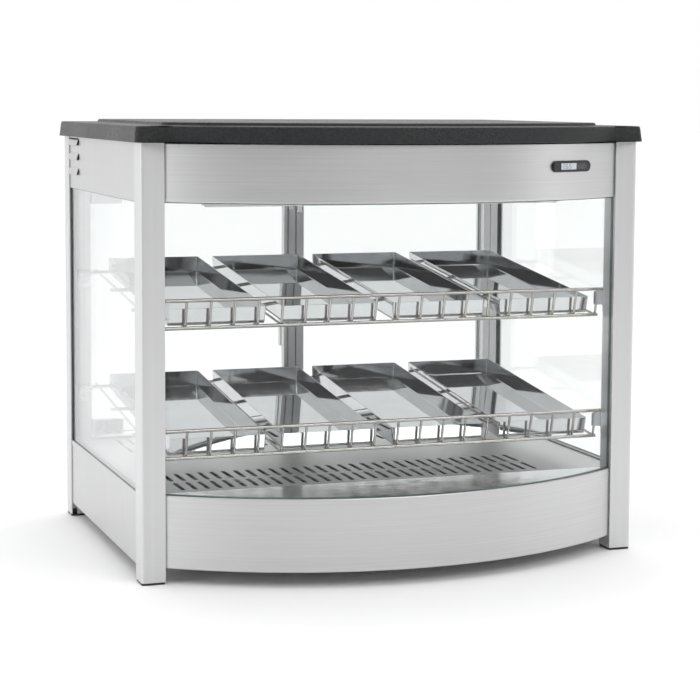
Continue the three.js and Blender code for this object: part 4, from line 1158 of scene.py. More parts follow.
class CABINET_OT_base(PieceOperator):
    """Builds the curved base front, the side and rear base panels and the bottom plate"""
    bl_idname = "cabinet.base"
    bl_label = "Base panels"

    def build(self, context):
        low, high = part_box("base_front")
        path = [(FRONT_LEDGE, high.z), (0, high.z), (0, low.z), (FLANGE, low.z)]
        section = strip(path, sizes().sheet, sizes().bend)
        bm = bmesh.new()
        front_band(bm, section)
        make_piece(bm, "base_front", [brushed_steel("level")], "brushed_stainless", ["base_front"])
        for side_name, side in SIDES:
            self.side(side_name, side)
        self.rear()
        low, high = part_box("base_bottom")
        vents = [[(x, y), (x + 6 * MM, y), (x + 6 * MM, y + 60 * MM), (x, y + 60 * MM)]
                 for x in (MM * (-150 + 24 * i) for i in range(13)) for y in (-60 * MM, 40 * MM)]
        bm = bmesh.new()
        perforated(bm, deck_outline(2 * MM, high.x, high.y), [rounded(v, 2.9 * MM, 3, True) for v in vents],
                   along_z(low.z), (0, 0, high.z - low.z))
        make_piece(bm, "base_bottom", [brushed_steel("x")], "brushed_stainless", ["base_bottom"])

    def side(self, side_name, side):
        node = f"base_{side_name}"
        low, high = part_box(node)
        outer = SIDE_SHEET
        proud = outer + SIDE_LIP
        step = high.z - SIDE_LIP_DROP
        section = [(SIDE_LEDGE, high.z), (proud, high.z), (proud, step), (outer, step - 0.6 * MM),
                   (outer, low.z), (outer - FLANGE, low.z)]
        points = [(side * x, z) for x, z in strip(section[::-1], sizes().sheet, 0.9 * MM)]
        bm = bmesh.new()
        prism(bm, points, along_y(INNER_FRONT + 0.6 * MM), (0, INNER_REAR - INNER_FRONT - 1.2 * MM, 0))
        for end, edge in ((-1, INNER_FRONT), (1, INNER_REAR)):
            block(bm, (side * outer, edge - end * 0.5 * MM, low.z),
                  (side * (outer - MM), edge + end * 8 * MM, high.z - 7 * MM))
        make_piece(bm, node, [brushed_steel("z")], "brushed_stainless", [node])

    def rear(self):
        low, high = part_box("base_rear")
        face = low.y
        sheet = sizes().sheet
        outline = rectangle(low, high)
        knob_low, knob_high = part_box("thermostat_knob")
        gland_low, gland_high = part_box("cable_gland")
        knob = (knob_low + knob_high) / 2
        gland = (gland_low + gland_high) / 2
        housing_low, housing_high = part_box("switch_housing")
        inset = 2.2 * MM
        holes = [
            arc((knob.x, knob.z), 3.6 * MM, 0, 345, 15), arc((gland.x, gland.z), 9.8 * MM, 0, 345, 15),
            rectangle(housing_low, housing_high, inset),
        ]
        for i in range(VENTS):
            x = VENT_FIRST + VENT_PITCH * i
            vent = [(x, VENT_LOW), (x + VENT_WIDTH, VENT_LOW), (x + VENT_WIDTH, VENT_HIGH), (x, VENT_HIGH)]
            holes.append(rounded(vent, 1.9 * MM, 4, True))
        bm = bmesh.new()
        perforated(bm, outline, holes, along_y(face), (0, sheet, 0))
        for z, fold in ((high.z, -1), (low.z, 1)):
            path = [(face + 0.4 * MM, z), (high.y, z), (high.y, z + fold * REAR_FOLD)]
            ledge = strip(path, fold * sheet, 1.5 * MM)
            prism(bm, ledge, along_x(low.x), (high.x - low.x, 0, 0))
        make_piece(bm, "base_rear", [brushed_steel("level")], "brushed_stainless", ["base_rear"])
        bm = bmesh.new()
        for x in (low.x + BASE_SCREWS_IN, -170 * MM, 60 * MM, high.x - BASE_SCREWS_IN):
            for z in (low.z + BASE_SCREWS_DROP, high.z - BASE_SCREWS_DROP):
                screw(bm, (x, face + sheet, z), (0, 1, 0))
        make_piece(bm, "base_rear_screws", [polished_steel()], "polished_stainless")


# ---- Floor ----
SLOT_LAST_X = 220.4 * MM
SLOT_ROWS = (-150 * MM, -88 * MM, 139 * MM, 201 * MM)  # front end of each row
SLOT_LENGTH = 51 * MM
APRON_SETBACK = 9 * MM  # the apron starts this far behind the face of the front panels


class CABINET_OT_floor(PieceOperator):
    """Builds the slotted floor and the polished apron ahead of it"""
    bl_idname = "cabinet.floor"
    bl_label = "Slotted floor"

    def build(self, context):
        low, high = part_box("floor_plate")
        edge_front, edge_rear = INNER_FRONT + 0.5 * MM, INNER_REAR - 0.5 * MM
        outline = [
            (-FRONT_HALF, low.y), (FRONT_HALF, low.y), (FRONT_HALF, edge_front), (high.x, edge_front),
            (high.x, edge_rear), (FRONT_HALF, edge_rear), (FRONT_HALF, high.y), (-FRONT_HALF, high.y),
            (-FRONT_HALF, edge_rear), (-high.x, edge_rear), (-high.x, edge_front), (-FRONT_HALF, edge_front),
        ]
        half = sizes().slot_width / 2
        slots = []
        for front in SLOT_ROWS:
            for column in range(sizes().slot_columns):
                x = SLOT_LAST_X - sizes().slot_pitch * column
                slots.append([*arc((x, front + half), half, 180, 360, 6),
                              *arc((x, front + SLOT_LENGTH - half), half, 0, 180, 6)])
        bm = bmesh.new()
        perforated(bm, outline, slots, along_z(high.z), (0, 0, low.z - high.z))
        make_piece(bm, "floor_plate", [brushed_steel("x")], "brushed_stainless", ["floor_plate"])
        low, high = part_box("front_apron")
        radius = FRONT_RADIUS - APRON_SETBACK
        reach = math.degrees(math.asin(high.x / radius))
        front = arc((0, FRONT_CENTRE), radius, -90 - reach, -90 + reach, sizes().arc_steps)
        plan = [*front, (high.x, high.y), (low.x, high.y)]
        bm = bmesh.new()
        perforated(bm, plan, [], along_z(low.z), (0, 0, high.z - low.z))
        finish = polished_steel("apron_steel", 1.0, 0.1)
        make_piece(bm, "front_apron", [finish], "polished_stainless", ["front_apron"])


# ---- Glass ----
GLASS_NEAR, GLASS_FAR = 2.5 * MM, 7.5 * MM  # the bent pane's faces, behind the face of the panels
GLASS_CHAMFER = 0.5 * MM
# The name and the clearness of each side pane's glass: a lower clearness makes more of a mirror, and the side
# panes, the left one most, carry a painted veil of reflected light
SIDE_PANES = {"left": ("left_pane", 3.1), "right": ("right_pane", 4.5)}


def pane_edges(normal_axes):
    """Paints the faces that don't lie in the pane as ground edge."""
    def paint(face):
        return 0 if normal_axes(face) > 0.8 else 1
    return paint


class CABINET_OT_glass(PieceOperator):
    """Builds the bent front pane and the flat side panes with their ground edges"""
    bl_idname = "cabinet.glass"
    bl_label = "Fixed glass"

    def build(self, context):
        low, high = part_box("front_glass")
        chamfer = GLASS_CHAMFER
        near, far = GLASS_NEAR, GLASS_FAR
        section = [
            (near + chamfer, low.z), (far - chamfer, low.z), (far, low.z + chamfer),
            (far, high.z - chamfer), (far - chamfer, high.z), (near + chamfer, high.z),
            (near, high.z - chamfer), (near, low.z + chamfer),
        ]
        bm = bmesh.new()
        front_band(bm, section)
        make_piece(bm, "front_glass", [pane_glass(), edge_glass()], "clear_glass", ["front_glass"],
                   paint=pane_edges(lambda face: abs(face.normal.y)))
        for side_name, _ in SIDES:
            node = f"side_glass_{side_name}"
            bm = bmesh.new()
            block(bm, *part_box(node), chamfer, 1)
            make_piece(bm, node, [pane_glass(*SIDE_PANES[side_name]), edge_glass()], "clear_glass", [node],
                       paint=pane_edges(lambda face: abs(face.normal.x)))


# ---- Rear doors ----
PIVOT_X = 301 * MM
CLAMP_LIP = 2.5 * MM  # how far a clamp reaches past the glass
CLAMP_HEIGHT = 22.5 * MM
CLAMP_SCREWS_IN = 11 * MM
JAW_GAP = 0.3 * MM
PULL_LIP = 6.4 * MM
PULL_SHEET = 1.8 * MM
PULL_BEND = 1.6 * MM


class CABINET_OT_doors(PieceOperator):
    """Builds the two glass doors with their pivot clamps, screws and edge pulls"""
    bl_idname = "cabinet.doors"
    bl_label = "Rear doors"

    def build(self, context):
        for side_name, side in SIDES:
            body = f"door_{side_name}"
            node = f"door_glass_{side_name}"
            bm = bmesh.new()
            block(bm, *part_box(node), 0.6 * MM, 1)
            make_piece(bm, node, [pane_glass(), edge_glass()], "clear_glass", [node], body,
                       pane_edges(lambda face: abs(face.normal.y)))
            for level, out in (("lower", -1), ("upper", 1)):
                self.clamp(f"door_clamp_{level}_{side_name}", side, out, body)
            self.pull(f"door_pull_{side_name}", side, body)

    def clamp(self, node, side, out, body):
        low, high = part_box(node)
        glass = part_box(node.replace("clamp_upper", "glass").replace("clamp_lower", "glass"))
        outer_z = glass[1].z if out > 0 else glass[0].z
        cap_z = outer_z + out * CLAMP_LIP
        inner_z = cap_z - out * CLAMP_HEIGHT
        bm = bmesh.new()
        for face, back in ((low.y, glass[0].y - JAW_GAP), (high.y, glass[1].y + JAW_GAP)):
            block(bm, (low.x, face, inner_z), (high.x, back, cap_z), 1.1 * MM, 3)
        block(bm, (low.x + 0.6 * MM, low.y + 0.8 * MM, outer_z + out * 0.4 * MM),
              (high.x - 0.6 * MM, high.y - 0.8 * MM, cap_z - out * 0.2 * MM), 0.4 * MM)
        pivot_x = side * PIVOT_X
        middle = (glass[0].y + glass[1].y) / 2
        reach = (high.z - cap_z) if out > 0 else (cap_z - low.z)
        turned(bm, [(0, -MM), (3 * MM, -MM), (3 * MM, reach - 0.5 * MM), (2.5 * MM, reach), (0, reach)],
               (pivot_x, middle, cap_z), (0, 0, out), 20)
        make_piece(bm, node, [polished_steel()], "polished_stainless", [node], body)
        bm = bmesh.new()
        for x in (low.x + CLAMP_SCREWS_IN, high.x - CLAMP_SCREWS_IN):
            for y, facing in ((low.y, -1), (high.y, 1)):
                place = Vector((x, y - facing * 1.6 * MM, (inner_z + outer_z) / 2))
                screw(bm, place, (0, facing, 0), 3.4 * MM)
        make_piece(bm, f"{node}_screws", [bright_wire()], "polished_stainless", body=body)

    def pull(self, node, side, body):
        low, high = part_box(node)
        inner, outer = (low.x, high.x) if side > 0 else (high.x, low.x)
        path = [(inner, low.y), (outer, low.y), (outer, high.y), (outer - side * PULL_LIP, high.y)]
        outline = strip(path, side * PULL_SHEET, PULL_BEND)
        bm = bmesh.new()
        verts = prism(bm, outline, along_z(low.z), (0, 0, high.z - low.z))
        soften(bm, 0.3 * MM, 2, verts, 60)
        make_piece(bm, node, [anodised_aluminium()], "anodised_aluminium", [node], body)


# ---- Shelves and pans ----
SHELF_HEIGHTS = {"upper": 322.6 * MM, "lower": 153.6 * MM}
FENCE_Y = -146 * MM
SHELF_LENGTH = 398 * MM
SHELF_HALF = 308 * MM
CROSS_RODS = (130 * MM, 262 * MM)
REAR_ROD = 392 * MM
REAR_ROD_HALF = 332 * MM
TOP_ROD_HALF = 322 * MM
HOOK_DROP = 15 * MM
WELD = 3.1 * MM  # from the middle of a wire to the middle of a rod
PAN_LIFT = 1.8 * MM
PAN_PITCH = 155 * MM
PAN_FRONT = 4 * MM


def shelf_axes():
    """Directions up the shelf, square to it, and up the fence."""
    tilt, lean = sizes().shelf_tilt, sizes().fence_lean
    slope = Vector((0, math.cos(tilt), math.sin(tilt)))
    lift = Vector((0, -math.sin(tilt), math.cos(tilt)))
    fence = Vector((0, -math.sin(lean), math.cos(lean)))
    return slope, lift, fence


def on_shelf(level, x, along, lifted):
    slope, lift, _ = shelf_axes()
    return Vector((x, FENCE_Y, SHELF_HEIGHTS[level])) + slope * along + lift * lifted


def fence_top(level, x):
    return Vector((x, FENCE_Y, SHELF_HEIGHTS[level])) + shelf_axes()[2] * sizes().fence_height


class CABINET_OT_shelves(PieceOperator):
    """Builds the two wire shelves: wires that turn up into a fence, on rods, with hooked ends"""
    bl_idname = "cabinet.shelves"
    bl_label = "Wire shelves"

    def build(self, context):
        for level in LEVELS:
            bm = bmesh.new()
            self.rods(bm, level)
            count = sizes().shelf_wires
            for i in range(count):
                self.shelf_wire(bm, level, -SHELF_HALF + 2 * SHELF_HALF * i / (count - 1))
            node = f"shelf_{level}"
            make_piece(bm, node, [bright_wire()], "bright_wire", [node], node)

    def rods(self, bm, level):
        rod, sides = sizes().rod, sizes().wire_sides + 2
        sink = WELD
        hook = 5 * MM
        half = TOP_ROD_HALF - rod
        tube = Tube(bm, fence_top(level, -half) - Vector((0, 0, HOOK_DROP)), (0, 0, 1), rod, sides)
        tube.run(HOOK_DROP - hook)
        tube.bend(hook, (1, 0, 0), math.pi / 2)
        tube.run(2 * (half - hook))
        tube.bend(hook, (0, 0, -1), math.pi / 2)
        tube.run(HOOK_DROP - hook).close()
        ends = SHELF_HALF + 2 * MM
        wire(bm, on_shelf(level, -ends, -sink, 0.5 * MM), on_shelf(level, ends, -sink, 0.5 * MM), rod, sides)
        for along in CROSS_RODS:
            ends = SHELF_HALF + 8 * MM
            wire(bm, on_shelf(level, -ends, along, -sink), on_shelf(level, ends, along, -sink), rod, sides)
        ends = REAR_ROD_HALF
        wire(bm, on_shelf(level, -ends, REAR_ROD, -sink), on_shelf(level, ends, REAR_ROD, -sink), rod, sides)

    def shelf_wire(self, bm, level, x):
        slope, lift, _ = shelf_axes()
        turn = math.pi / 2 - sizes().fence_lean + sizes().shelf_tilt
        radius = sizes().wire_bend
        tangent = radius * math.tan(turn / 2)
        tube = Tube(bm, on_shelf(level, x, SHELF_LENGTH, 0), -slope, sizes().wire, sizes().wire_sides)
        tube.run(SHELF_LENGTH - tangent)
        tube.bend(radius, lift, turn)
        tube.run(sizes().fence_height - tangent).close()


LEDGE_DROP = 20 * MM
LEDGE_SHEET = 2.5 * MM
LEDGE_LIP = 4 * MM
TONGUE_X = 314 * MM
TONGUE_THICK = 3 * MM
TONGUE_DROP = 16 * MM
HOOK_ARM = 19 * MM


class CABINET_OT_brackets(PieceOperator):
    """Builds the ledges on the rear posts and the hook plates on the front posts that carry the shelves"""
    bl_idname = "cabinet.brackets"
    bl_label = "Shelf brackets"

    def build(self, context):
        for level in LEVELS:
            for side_name, side in SIDES:
                self.rear(f"bracket_rear_{level}_{side_name}")
                self.front(f"bracket_front_{level}_{side_name}", side)

    def rear(self, node):
        low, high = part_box(node)
        ledge = low.z + LEDGE_DROP
        under = ledge - LEDGE_SHEET
        path = [(low.y, ledge + LEDGE_LIP), (low.y, under), (high.y, under), (high.y, high.z)]
        outline = strip(path, 2.4 * MM, 2.8 * MM, 5)
        bm = bmesh.new()
        verts = prism(bm, outline, along_x(low.x), (high.x - low.x, 0, 0))
        soften(bm, 0.3 * MM, 2, verts, 60)
        block(bm, (low.x, high.y - 2.4 * MM, low.z), (high.x, high.y, ledge), 0.4 * MM)
        make_piece(bm, node, [polished_steel()], "polished_stainless", [node])
        bm = bmesh.new()
        screw(bm, ((low.x + high.x) / 2, high.y - 2.4 * MM, low.z + 8 * MM), (0, -1, 0), 2.8 * MM)
        make_piece(bm, f"{node}_screw", [bright_wire()], "polished_stainless")

    def front(self, node, side):
        low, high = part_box(node)
        inner, outer = (low.x, high.x) if side > 0 else (high.x, low.x)
        tongue = side * TONGUE_X
        arm = high.z - HOOK_ARM
        plate = 1.2 * MM
        bm = bmesh.new()
        block(bm, (tongue, low.y, high.z - TONGUE_DROP), (tongue + side * TONGUE_THICK, high.y, high.z),
              0.5 * MM)
        corners = [(inner, high.z), (inner, arm), (tongue, arm), (tongue, low.z), (outer, low.z),
                   (outer, high.z)]
        outline = rounded(corners, 2.2 * MM, 4, True)
        verts = prism(bm, outline, along_y(low.y), (0, plate, 0))
        soften(bm, 0.25 * MM, 2, verts, 60)
        make_piece(bm, node, [polished_steel()], "polished_stainless", [node])
        bm = bmesh.new()
        screw(bm, (tongue + side * 9 * MM, low.y + plate, low.z + 6 * MM), (0, 1, 0), 2.6 * MM)
        make_piece(bm, f"{node}_screw", [bright_wire()], "polished_stainless")


class CABINET_OT_pans(PieceOperator):
    """Builds the eight folded pans with mirror-polished sheet and rounded rims"""
    bl_idname = "cabinet.pans"
    bl_label = "Pans"

    def build(self, context):
        for level in LEVELS:
            for i in range(4):
                node = f"pan_{level}_{i + 1}"
                bm = bmesh.new()
                rings_between(bm, self.loops())
                place = on_shelf(level, (i - 1.5) * PAN_PITCH, PAN_FRONT, PAN_LIFT)
                turn = Matrix.Rotation(sizes().shelf_tilt, 4, "X")
                bmesh.ops.transform(bm, matrix=Matrix.Translation(place) @ turn, verts=bm.verts[:])
                # painted shade: the pans' steel is 0.86 as bright as the other polished steel, so their
                # fronts mirror less light
                finish = polished_steel("mirror_steel", 0.12, 0.035, 0.86)
                make_piece(bm, node, [finish], "mirror_stainless", [node], node)

    def loops(self):
        """Rounded rectangles from the middle of the underside, over the rim and down to the inner floor."""
        s = sizes()
        wall, draft, top = s.pan_wall, s.pan_draft, s.pan_height
        fold = 1.8 * MM
        lip = wall / 2
        levels = [(draft + fold * (1 - out), fold * (1 - rest)) for out, rest in quarter(4)]
        levels += [(lip - lip * math.cos(math.pi * i / 6), top - lip + lip * math.sin(math.pi * i / 6))
                   for i in range(7)]
        inner = fold - wall
        levels += [(draft + wall + inner * (1 - out), wall + inner * (1 - rest))
                   for out, rest in quarter(4)[::-1]]
        loops = []
        for inset, z in levels:
            half, length = s.pan_width / 2 - inset, s.pan_length
            plan = [(-half, inset), (half, inset), (half, length - inset), (-half, length - inset)]
            corner = max(s.pan_corner - inset, 0.8 * MM)
            loops.append([Vector((p.x, p.y, z)) for p in rounded(plan, corner, 5, True)])
        return loops


# ---- Controls and heating ----
KNOB_RIBS = 18
DIAL_MARKS = 11
DIAL_STEP = 27  # degrees from mark to mark
NUT_RADIUS = 12.9 * MM


class CABINET_OT_controls(PieceOperator):
    """Builds the thermostat knob with its dial, the two rocker switches and the cable gland"""
    bl_idname = "cabinet.controls"
    bl_label = "Controls"

    def build(self, context):
        self.knob()
        self.switches()
        self.gland()

    def knob(self):
        low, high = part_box("thermostat_knob")
        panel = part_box("base_rear")[0].y + sizes().sheet
        x, z = (low.x + high.x) / 2, (low.z + high.z) / 2
        base = panel + 0.5 * MM
        tip = high.y - MM
        bm = bmesh.new()
        rise = tip - base
        profile = [
            (0, rise), (12.6 * MM, rise), (13.8 * MM, rise - 0.5 * MM), (14.3 * MM, rise - 1.6 * MM),
            (15 * MM, 6 * MM), (15.6 * MM, 5.2 * MM), (18 * MM, 4.6 * MM), (19 * MM, 3.4 * MM),
            (19 * MM, 0.4 * MM), (18.6 * MM, 0), (3 * MM, 0), (3 * MM, low.y - base), (0, low.y - base),
        ]
        turned(bm, profile, (x, base, z), (0, 1, 0), 48)
        for i in range(KNOB_RIBS):
            angle = math.tau * (i + 0.5) / KNOB_RIBS
            out = Vector((math.cos(angle), 0, math.sin(angle)))
            centre = Vector((x, 0, z)) + out * 14.2 * MM
            foot, head = Vector((0, base + 6 * MM, 0)), Vector((0, tip - 1.5 * MM, 0))
            wire(bm, centre + foot, centre + head, 1.1 * MM, 8)
        make_piece(bm, "thermostat_knob", [black_plastic()], "black_plastic", ["thermostat_knob"],
                   "thermostat_knob")
        white = painted("dial_white", (0.85, 0.85, 0.83))
        bm = bmesh.new()
        block(bm, (x - 0.9 * MM, tip - 0.2 * MM, z + 3 * MM), (x + 0.9 * MM, high.y, z + 15.5 * MM), 0.3 * MM)
        make_piece(bm, "thermostat_pointer", [white], "black_plastic", body="thermostat_knob")
        self.dial(x, z, panel)

    def dial(self, x, z, panel):
        """Tick marks and numbers round the knob, printed on the panel."""
        printed = bmesh.new()
        for i in range(DIAL_MARKS):
            angle = math.radians(90 - DIAL_STEP * i)
            out = Vector((-math.cos(angle), 0, math.sin(angle)))
            swing = Matrix.Rotation(math.radians(DIAL_STEP * i), 4, (0, 1, 0)).inverted()
            turn = Matrix.Translation((x, panel, z)) @ swing
            tick = bmesh.new()
            block(tick, (-0.55 * MM, 0.02 * MM, 20.5 * MM), (0.55 * MM, 0.1 * MM, 24 * MM))
            bmesh.ops.transform(tick, matrix=turn, verts=tick.verts[:])
            mesh = bpy.data.meshes.new("tick")
            tick.to_mesh(mesh)
            tick.free()
            printed.from_mesh(mesh)
            bpy.data.meshes.remove(mesh)
            self.figure(printed, str(i), Vector((x, panel, z)) + out * 29 * MM)
        make_piece(printed, "thermostat_dial", [painted("dial_black", (0.03, 0.03, 0.03))], "black_plastic")

    def figure(self, bm, text, place):
        curve = bpy.data.curves.new("figure", "FONT")
        curve.body = text
        curve.size = 7 * MM
        curve.offset = 0.12 * MM
        curve.align_x = "CENTER"
        curve.align_y = "CENTER"
        curve.extrude = 0.05 * MM
        carrier = bpy.data.objects.new("figure", curve)
        mesh = bpy.data.meshes.new_from_object(carrier)
        facing = Matrix.Rotation(math.pi, 4, "Z") @ Matrix.Rotation(math.pi / 2, 4, "X")
        mesh.transform(Matrix.Translation(place + Vector((0, 0.06 * MM, 0))) @ facing)
        bm.from_mesh(mesh)
        bpy.data.meshes.remove(mesh)
        bpy.data.objects.remove(carrier)
        bpy.data.curves.remove(curve)

    def switches(self):
        low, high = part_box("switch_housing")
        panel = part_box("base_rear")[0].y + sizes().sheet
        bm = bmesh.new()
        rockers = [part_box(name) for name in ("power_switch", "light_switch")]
        gap = 0.3 * MM
        outline = rounded(rectangle(low, high), 2.5 * MM, 5, True)
        pockets = [rectangle(a, b, -gap) for a, b in rockers]
        perforated(bm, outline, pockets, along_y(panel + 0.3 * MM), (0, high.y - panel - 0.3 * MM, 0))
        inset = 2.5 * MM
        inner = rectangle(low, high, inset)
        perforated(bm, inner, pockets, along_y(low.y), (0, panel - low.y, 0))
        make_piece(bm, "switch_housing", [black_plastic()], "black_plastic", ["switch_housing"])
        marks = painted("switch_white", (0.85, 0.85, 0.83))
        for name, (a, b) in zip(("power_switch", "light_switch"), rockers):
            self.rocker(name, a, b, panel, marks)

    def rocker(self, name, low, high, panel, marks):
        pivot_y = panel + 0.8 * MM
        z = (low.z + high.z) / 2
        radius = 10.7 * MM
        tilt = math.radians(8)
        outline = [Vector((1.4 * MM, 0)), *arc((0, 0), radius, 70, 290, 22)]
        turn = Matrix.Rotation(tilt, 2)
        points = [turn @ p + Vector((pivot_y, z)) for p in outline]
        bm = bmesh.new()
        verts = prism(bm, points, along_x(low.x), (high.x - low.x, 0, 0))
        soften(bm, 0.5 * MM, 2, verts, 60)
        make_piece(bm, name, [black_plastic()], "black_plastic", [name], name)
        bm = bmesh.new()
        x = (low.x + high.x) / 2
        upper, lower = self.on_face(points, 0.55), self.on_face(points[::-1], 0.55, last=True)
        block(bm, (x - 0.35 * MM, upper.y - 0.3 * MM, upper.z - 1.4 * MM),
              (x + 0.35 * MM, upper.y + 0.12 * MM, upper.z + 1.4 * MM))
        ring = [(1.3 * MM, -0.3 * MM), (1.3 * MM, 0.12 * MM), (0.8 * MM, 0.12 * MM), (0.8 * MM, -0.3 * MM)]
        turned(bm, [*ring, ring[0]], (x, lower.y, lower.z), (0, 1, 0), 20)
        make_piece(bm, f"{name}_marks", [marks], "black_plastic", body=name)

    def on_face(self, points, share, last=False):
        """A point part of the way from the rocker's ridge to its end."""
        ridge, end = (points[-1], points[0]) if last else (points[0], points[1])
        middle = ridge.lerp(end, share)
        return Vector((0, middle.x, middle.y))

    def gland(self):
        low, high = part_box("cable_gland")
        x, z = (low.x + high.x) / 2, (low.z + high.z) / 2
        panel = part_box("base_rear")[0].y + sizes().sheet
        bm = bmesh.new()
        bore = 4.2 * MM
        length = high.y - panel
        inside = low.y - panel
        profile = [
            (bore, inside), (9.4 * MM, inside), (9.4 * MM, 0.3 * MM), (12.6 * MM, 0.4 * MM),
            (12.6 * MM, 1.8 * MM), (9.5 * MM, 2 * MM), (9.5 * MM, length - 5 * MM),
            (8.6 * MM, length - 2 * MM), (6.6 * MM, length - 0.4 * MM), (bore + MM, length),
            (bore, length - 0.6 * MM), (bore, inside),
        ]
        turned(bm, profile, (x, panel, z), (0, 1, 0), 32)
        nut = [Vector((x, z)) + Matrix.Rotation(math.pi / 3 * i, 2) @ Vector((NUT_RADIUS, 0))
               for i in range(6)]
        hole = arc((x, z), 9.3 * MM, 0, 345, 23)
        perforated(bm, nut, [hole], along_y(panel + 0.3 * MM), (0, 7.6 * MM, 0))
        make_piece(bm, "cable_gland", [black_plastic()], "black_plastic", ["cable_gland"])


class CABINET_OT_element(PieceOperator):
    """Builds the serpentine heating element on its saddle strips"""
    bl_idname = "cabinet.element"
    bl_label = "Heating element"

    def build(self, context):
        low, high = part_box("heating_element")
        height, radius, reach, row = 82 * MM, 4.2 * MM, 230 * MM, 100 * MM
        first = (low.y + high.y) / 2 - 1.5 * row
        bm = bmesh.new()
        tube = Tube(bm, (-reach, first, height), (1, 0, 0), radius, 14)
        for i in range(4):
            tube.run(2 * reach)
            if i < 3:
                tube.bend(row / 2, (0, 1, 0), math.pi, 14)
        tube.close()
        make_piece(bm, "heating_element", [element_sheath()], "element_sheath", ["heating_element"])
        bm = bmesh.new()
        for x in (-150 * MM, 150 * MM):
            path = [(low.y, low.z), (low.y, height - radius), (high.y, height - radius), (high.y, low.z)]
            prism(bm, strip(path, -1.6 * MM, 2 * MM), along_x(x - 8 * MM), (16 * MM, 0, 0))
        make_piece(bm, "element_saddles", [brushed_steel("x")], "brushed_stainless")


# ---- Stage ----
CAMERA_PLACE = Vector((-0.91533, -2.60857, 0.6159))
CAMERA_AZIMUTH = math.radians(-19.34)
CAMERA_ELEVATION = math.radians(5.47)
CAMERA_ROLL = math.radians(0.31)
CAMERA_LENS = 101.94
CAMERA_SHIFT = -0.0857
# The floor is painted darker in front of the cabinet: painted shade, so the metal mirrors a darker room there
FLOOR_NEAR, FLOOR_SHADED = (0.94, 0.94, 0.94), (0.6, 0.6, 0.6)
FLOOR_SHADE_SPAN = (-1.9, -0.9)  # where the floor goes from its painted shade to its near colour, along Y
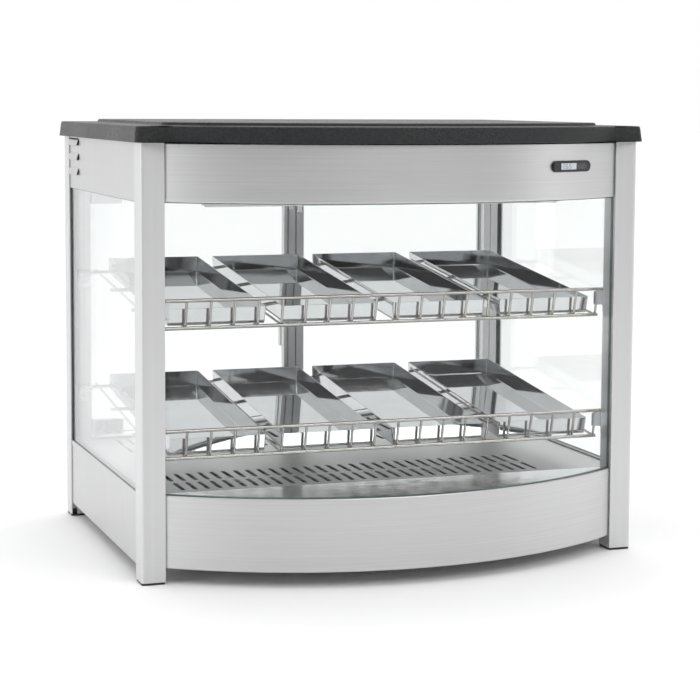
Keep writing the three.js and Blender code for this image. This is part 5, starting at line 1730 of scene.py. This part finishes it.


class CABINET_OT_stage(bpy.types.Operator):
    """Sets the floor, the soft studio light and the camera"""
    bl_idname = "cabinet.stage"
    bl_label = "Stage"

    def execute(self, context):
        self.camera(context.scene)
        self.floor(context.scene)
        self.surroundings(context.scene)
        self.lamps(context.scene)
        context.scene.view_settings.view_transform = "Standard"
        return {"FINISHED"}

    def camera(self, scene):
        a, e, r = CAMERA_AZIMUTH, CAMERA_ELEVATION, CAMERA_ROLL
        back = Vector((math.sin(a) * math.cos(e), -math.cos(a) * math.cos(e), math.sin(e)))
        right = (-back).cross(Vector((0, 0, 1))).normalized()
        up = right.cross(-back)
        across = right * math.cos(r) + up * math.sin(r)
        over = up * math.cos(r) - right * math.sin(r)
        data = bpy.data.cameras.new("camera")
        data.lens = CAMERA_LENS
        data.shift_y = CAMERA_SHIFT
        camera = bpy.data.objects.new("camera", data)
        turn = Matrix((across, over, back)).transposed().to_4x4()
        camera.matrix_world = Matrix.Translation(CAMERA_PLACE) @ turn
        scene.collection.objects.link(camera)
        scene.camera = camera

    def floor(self, scene):
        bm = bmesh.new()
        bmesh.ops.create_grid(bm, x_segments=1, y_segments=1, size=30)
        mesh = bpy.data.meshes.new("studio_floor")
        bm.to_mesh(mesh)
        bm.free()
        ground = bpy.data.objects.new("studio_floor", mesh)
        scene.collection.objects.link(ground)
        finish = Finish("studio_floor", FLOOR_NEAR, 0.9)
        parts = finish.node("ShaderNodeSeparateXYZ")
        finish.link(finish.coordinates, parts.inputs[0])
        # painted shade: the floor darkens towards the front
        floor_shade = finish.blend(finish.spread(parts.outputs["Y"], 0, 1, *FLOOR_SHADE_SPAN), FLOOR_SHADED, FLOOR_NEAR)
        finish.link(floor_shade, finish.shader.inputs["Base Color"])
        mesh.materials.append(finish.material)

    def surroundings(self, scene):
        """A white background, and a room that is bright behind and dark in front."""
        world = bpy.data.worlds.new("studio")
        world.use_nodes = True
        scene.world = world
        tree = world.node_tree
        tree.nodes.clear()
        coordinates = tree.nodes.new("ShaderNodeTexCoord")
        parts = tree.nodes.new("ShaderNodeSeparateXYZ")
        ramp = tree.nodes.new("ShaderNodeMapRange")
        ramp.interpolation_type = "SMOOTHSTEP"
        for socket, value in (("From Min", -0.5), ("From Max", 0.3), ("To Min", 0.07), ("To Max", 0.95)):
            ramp.inputs[socket].default_value = value
        room = tree.nodes.new("ShaderNodeBackground")
        white = tree.nodes.new("ShaderNodeBackground")
        white.inputs["Color"].default_value = (1, 1, 1, 1)
        white.inputs["Strength"].default_value = 1.0
        ray = tree.nodes.new("ShaderNodeLightPath")
        mix = tree.nodes.new("ShaderNodeMixShader")
        output = tree.nodes.new("ShaderNodeOutputWorld")
        for source, target in (
            (coordinates.outputs["Generated"], parts.inputs[0]), (parts.outputs["Y"], ramp.inputs["Value"]),
            (ramp.outputs["Result"], room.inputs["Color"]), (ray.outputs["Is Camera Ray"], mix.inputs[0]),
            (room.outputs[0], mix.inputs[1]), (white.outputs[0], mix.inputs[2]),
            (mix.outputs[0], output.inputs["Surface"]),
        ):
            tree.links.new(source, target)

    def lamps(self, scene):
        target = Vector((0, 0, 0.3))
        for name, place, size, power in (
            ("front_softbox", (1.0, -3.2, 2.35), (2.5, 1.3), 40),
            ("right_softbox", (2.85, -1.5, 1.0), (0.4, 1.8), 6),
            ("left_softbox", (-3.0, -1.1, 1.0), (0.8, 1.9), 14),
        ):
            data = bpy.data.lights.new(name, "AREA")
            data.shape = "RECTANGLE"
            data.size, data.size_y = size
            data.energy = power
            lamp = bpy.data.objects.new(name, data)
            lamp.location = place
            lamp.rotation_euler = (target - Vector(place)).to_track_quat("-Z", "Y").to_euler()
            scene.collection.objects.link(lamp)
        data = bpy.data.lights.new("overhead_sky", "SUN")
        data.energy = 1.7
        data.angle = math.radians(90)
        lamp = bpy.data.objects.new("overhead_sky", data)
        scene.collection.objects.link(lamp)


OPERATORS = (
    CABINET_OT_stage, CABINET_OT_posts, CABINET_OT_feet, CABINET_OT_mullion, CABINET_OT_lid,
    CABINET_OT_fascia, CABINET_OT_ceiling, CABINET_OT_thermometer, CABINET_OT_base, CABINET_OT_floor,
    CABINET_OT_glass, CABINET_OT_doors, CABINET_OT_shelves, CABINET_OT_brackets, CABINET_OT_pans,
    CABINET_OT_controls, CABINET_OT_element,
)


class CABINET_PT_pieces(bpy.types.Panel):
    """Lists the cabinet's operators, with the sizes and colours that they use"""
    bl_idname = "CABINET_PT_pieces"
    bl_label = "Display cabinet"
    bl_space_type = "VIEW_3D"
    bl_region_type = "UI"
    bl_category = "Cabinet"

    def draw(self, context):
        for operator in OPERATORS:
            self.layout.operator(operator.bl_idname)
        for group in (context.scene.cabinet_sizes, context.scene.cabinet_colours):
            box = self.layout.box()
            for name in group.__annotations__:
                box.prop(group, name)


CLASSES = (CabinetSizes, CabinetColours, *OPERATORS, CABINET_PT_pieces)


def register():
    for cls in CLASSES:
        bpy.utils.register_class(cls)
    bpy.types.Scene.cabinet_sizes = PointerProperty(type=CabinetSizes)
    bpy.types.Scene.cabinet_colours = PointerProperty(type=CabinetColours)


def unregister():
    del bpy.types.Scene.cabinet_sizes
    del bpy.types.Scene.cabinet_colours
    for cls in reversed(CLASSES):
        bpy.utils.unregister_class(cls)


def main():
    register()
    for operator in OPERATORS:
        group, name = operator.bl_idname.split(".")
        if getattr(getattr(bpy.ops, group), name)() != {"FINISHED"}:
            raise RuntimeError(f"{operator.bl_label} wasn't built")


if __name__ == "__main__":
    main()
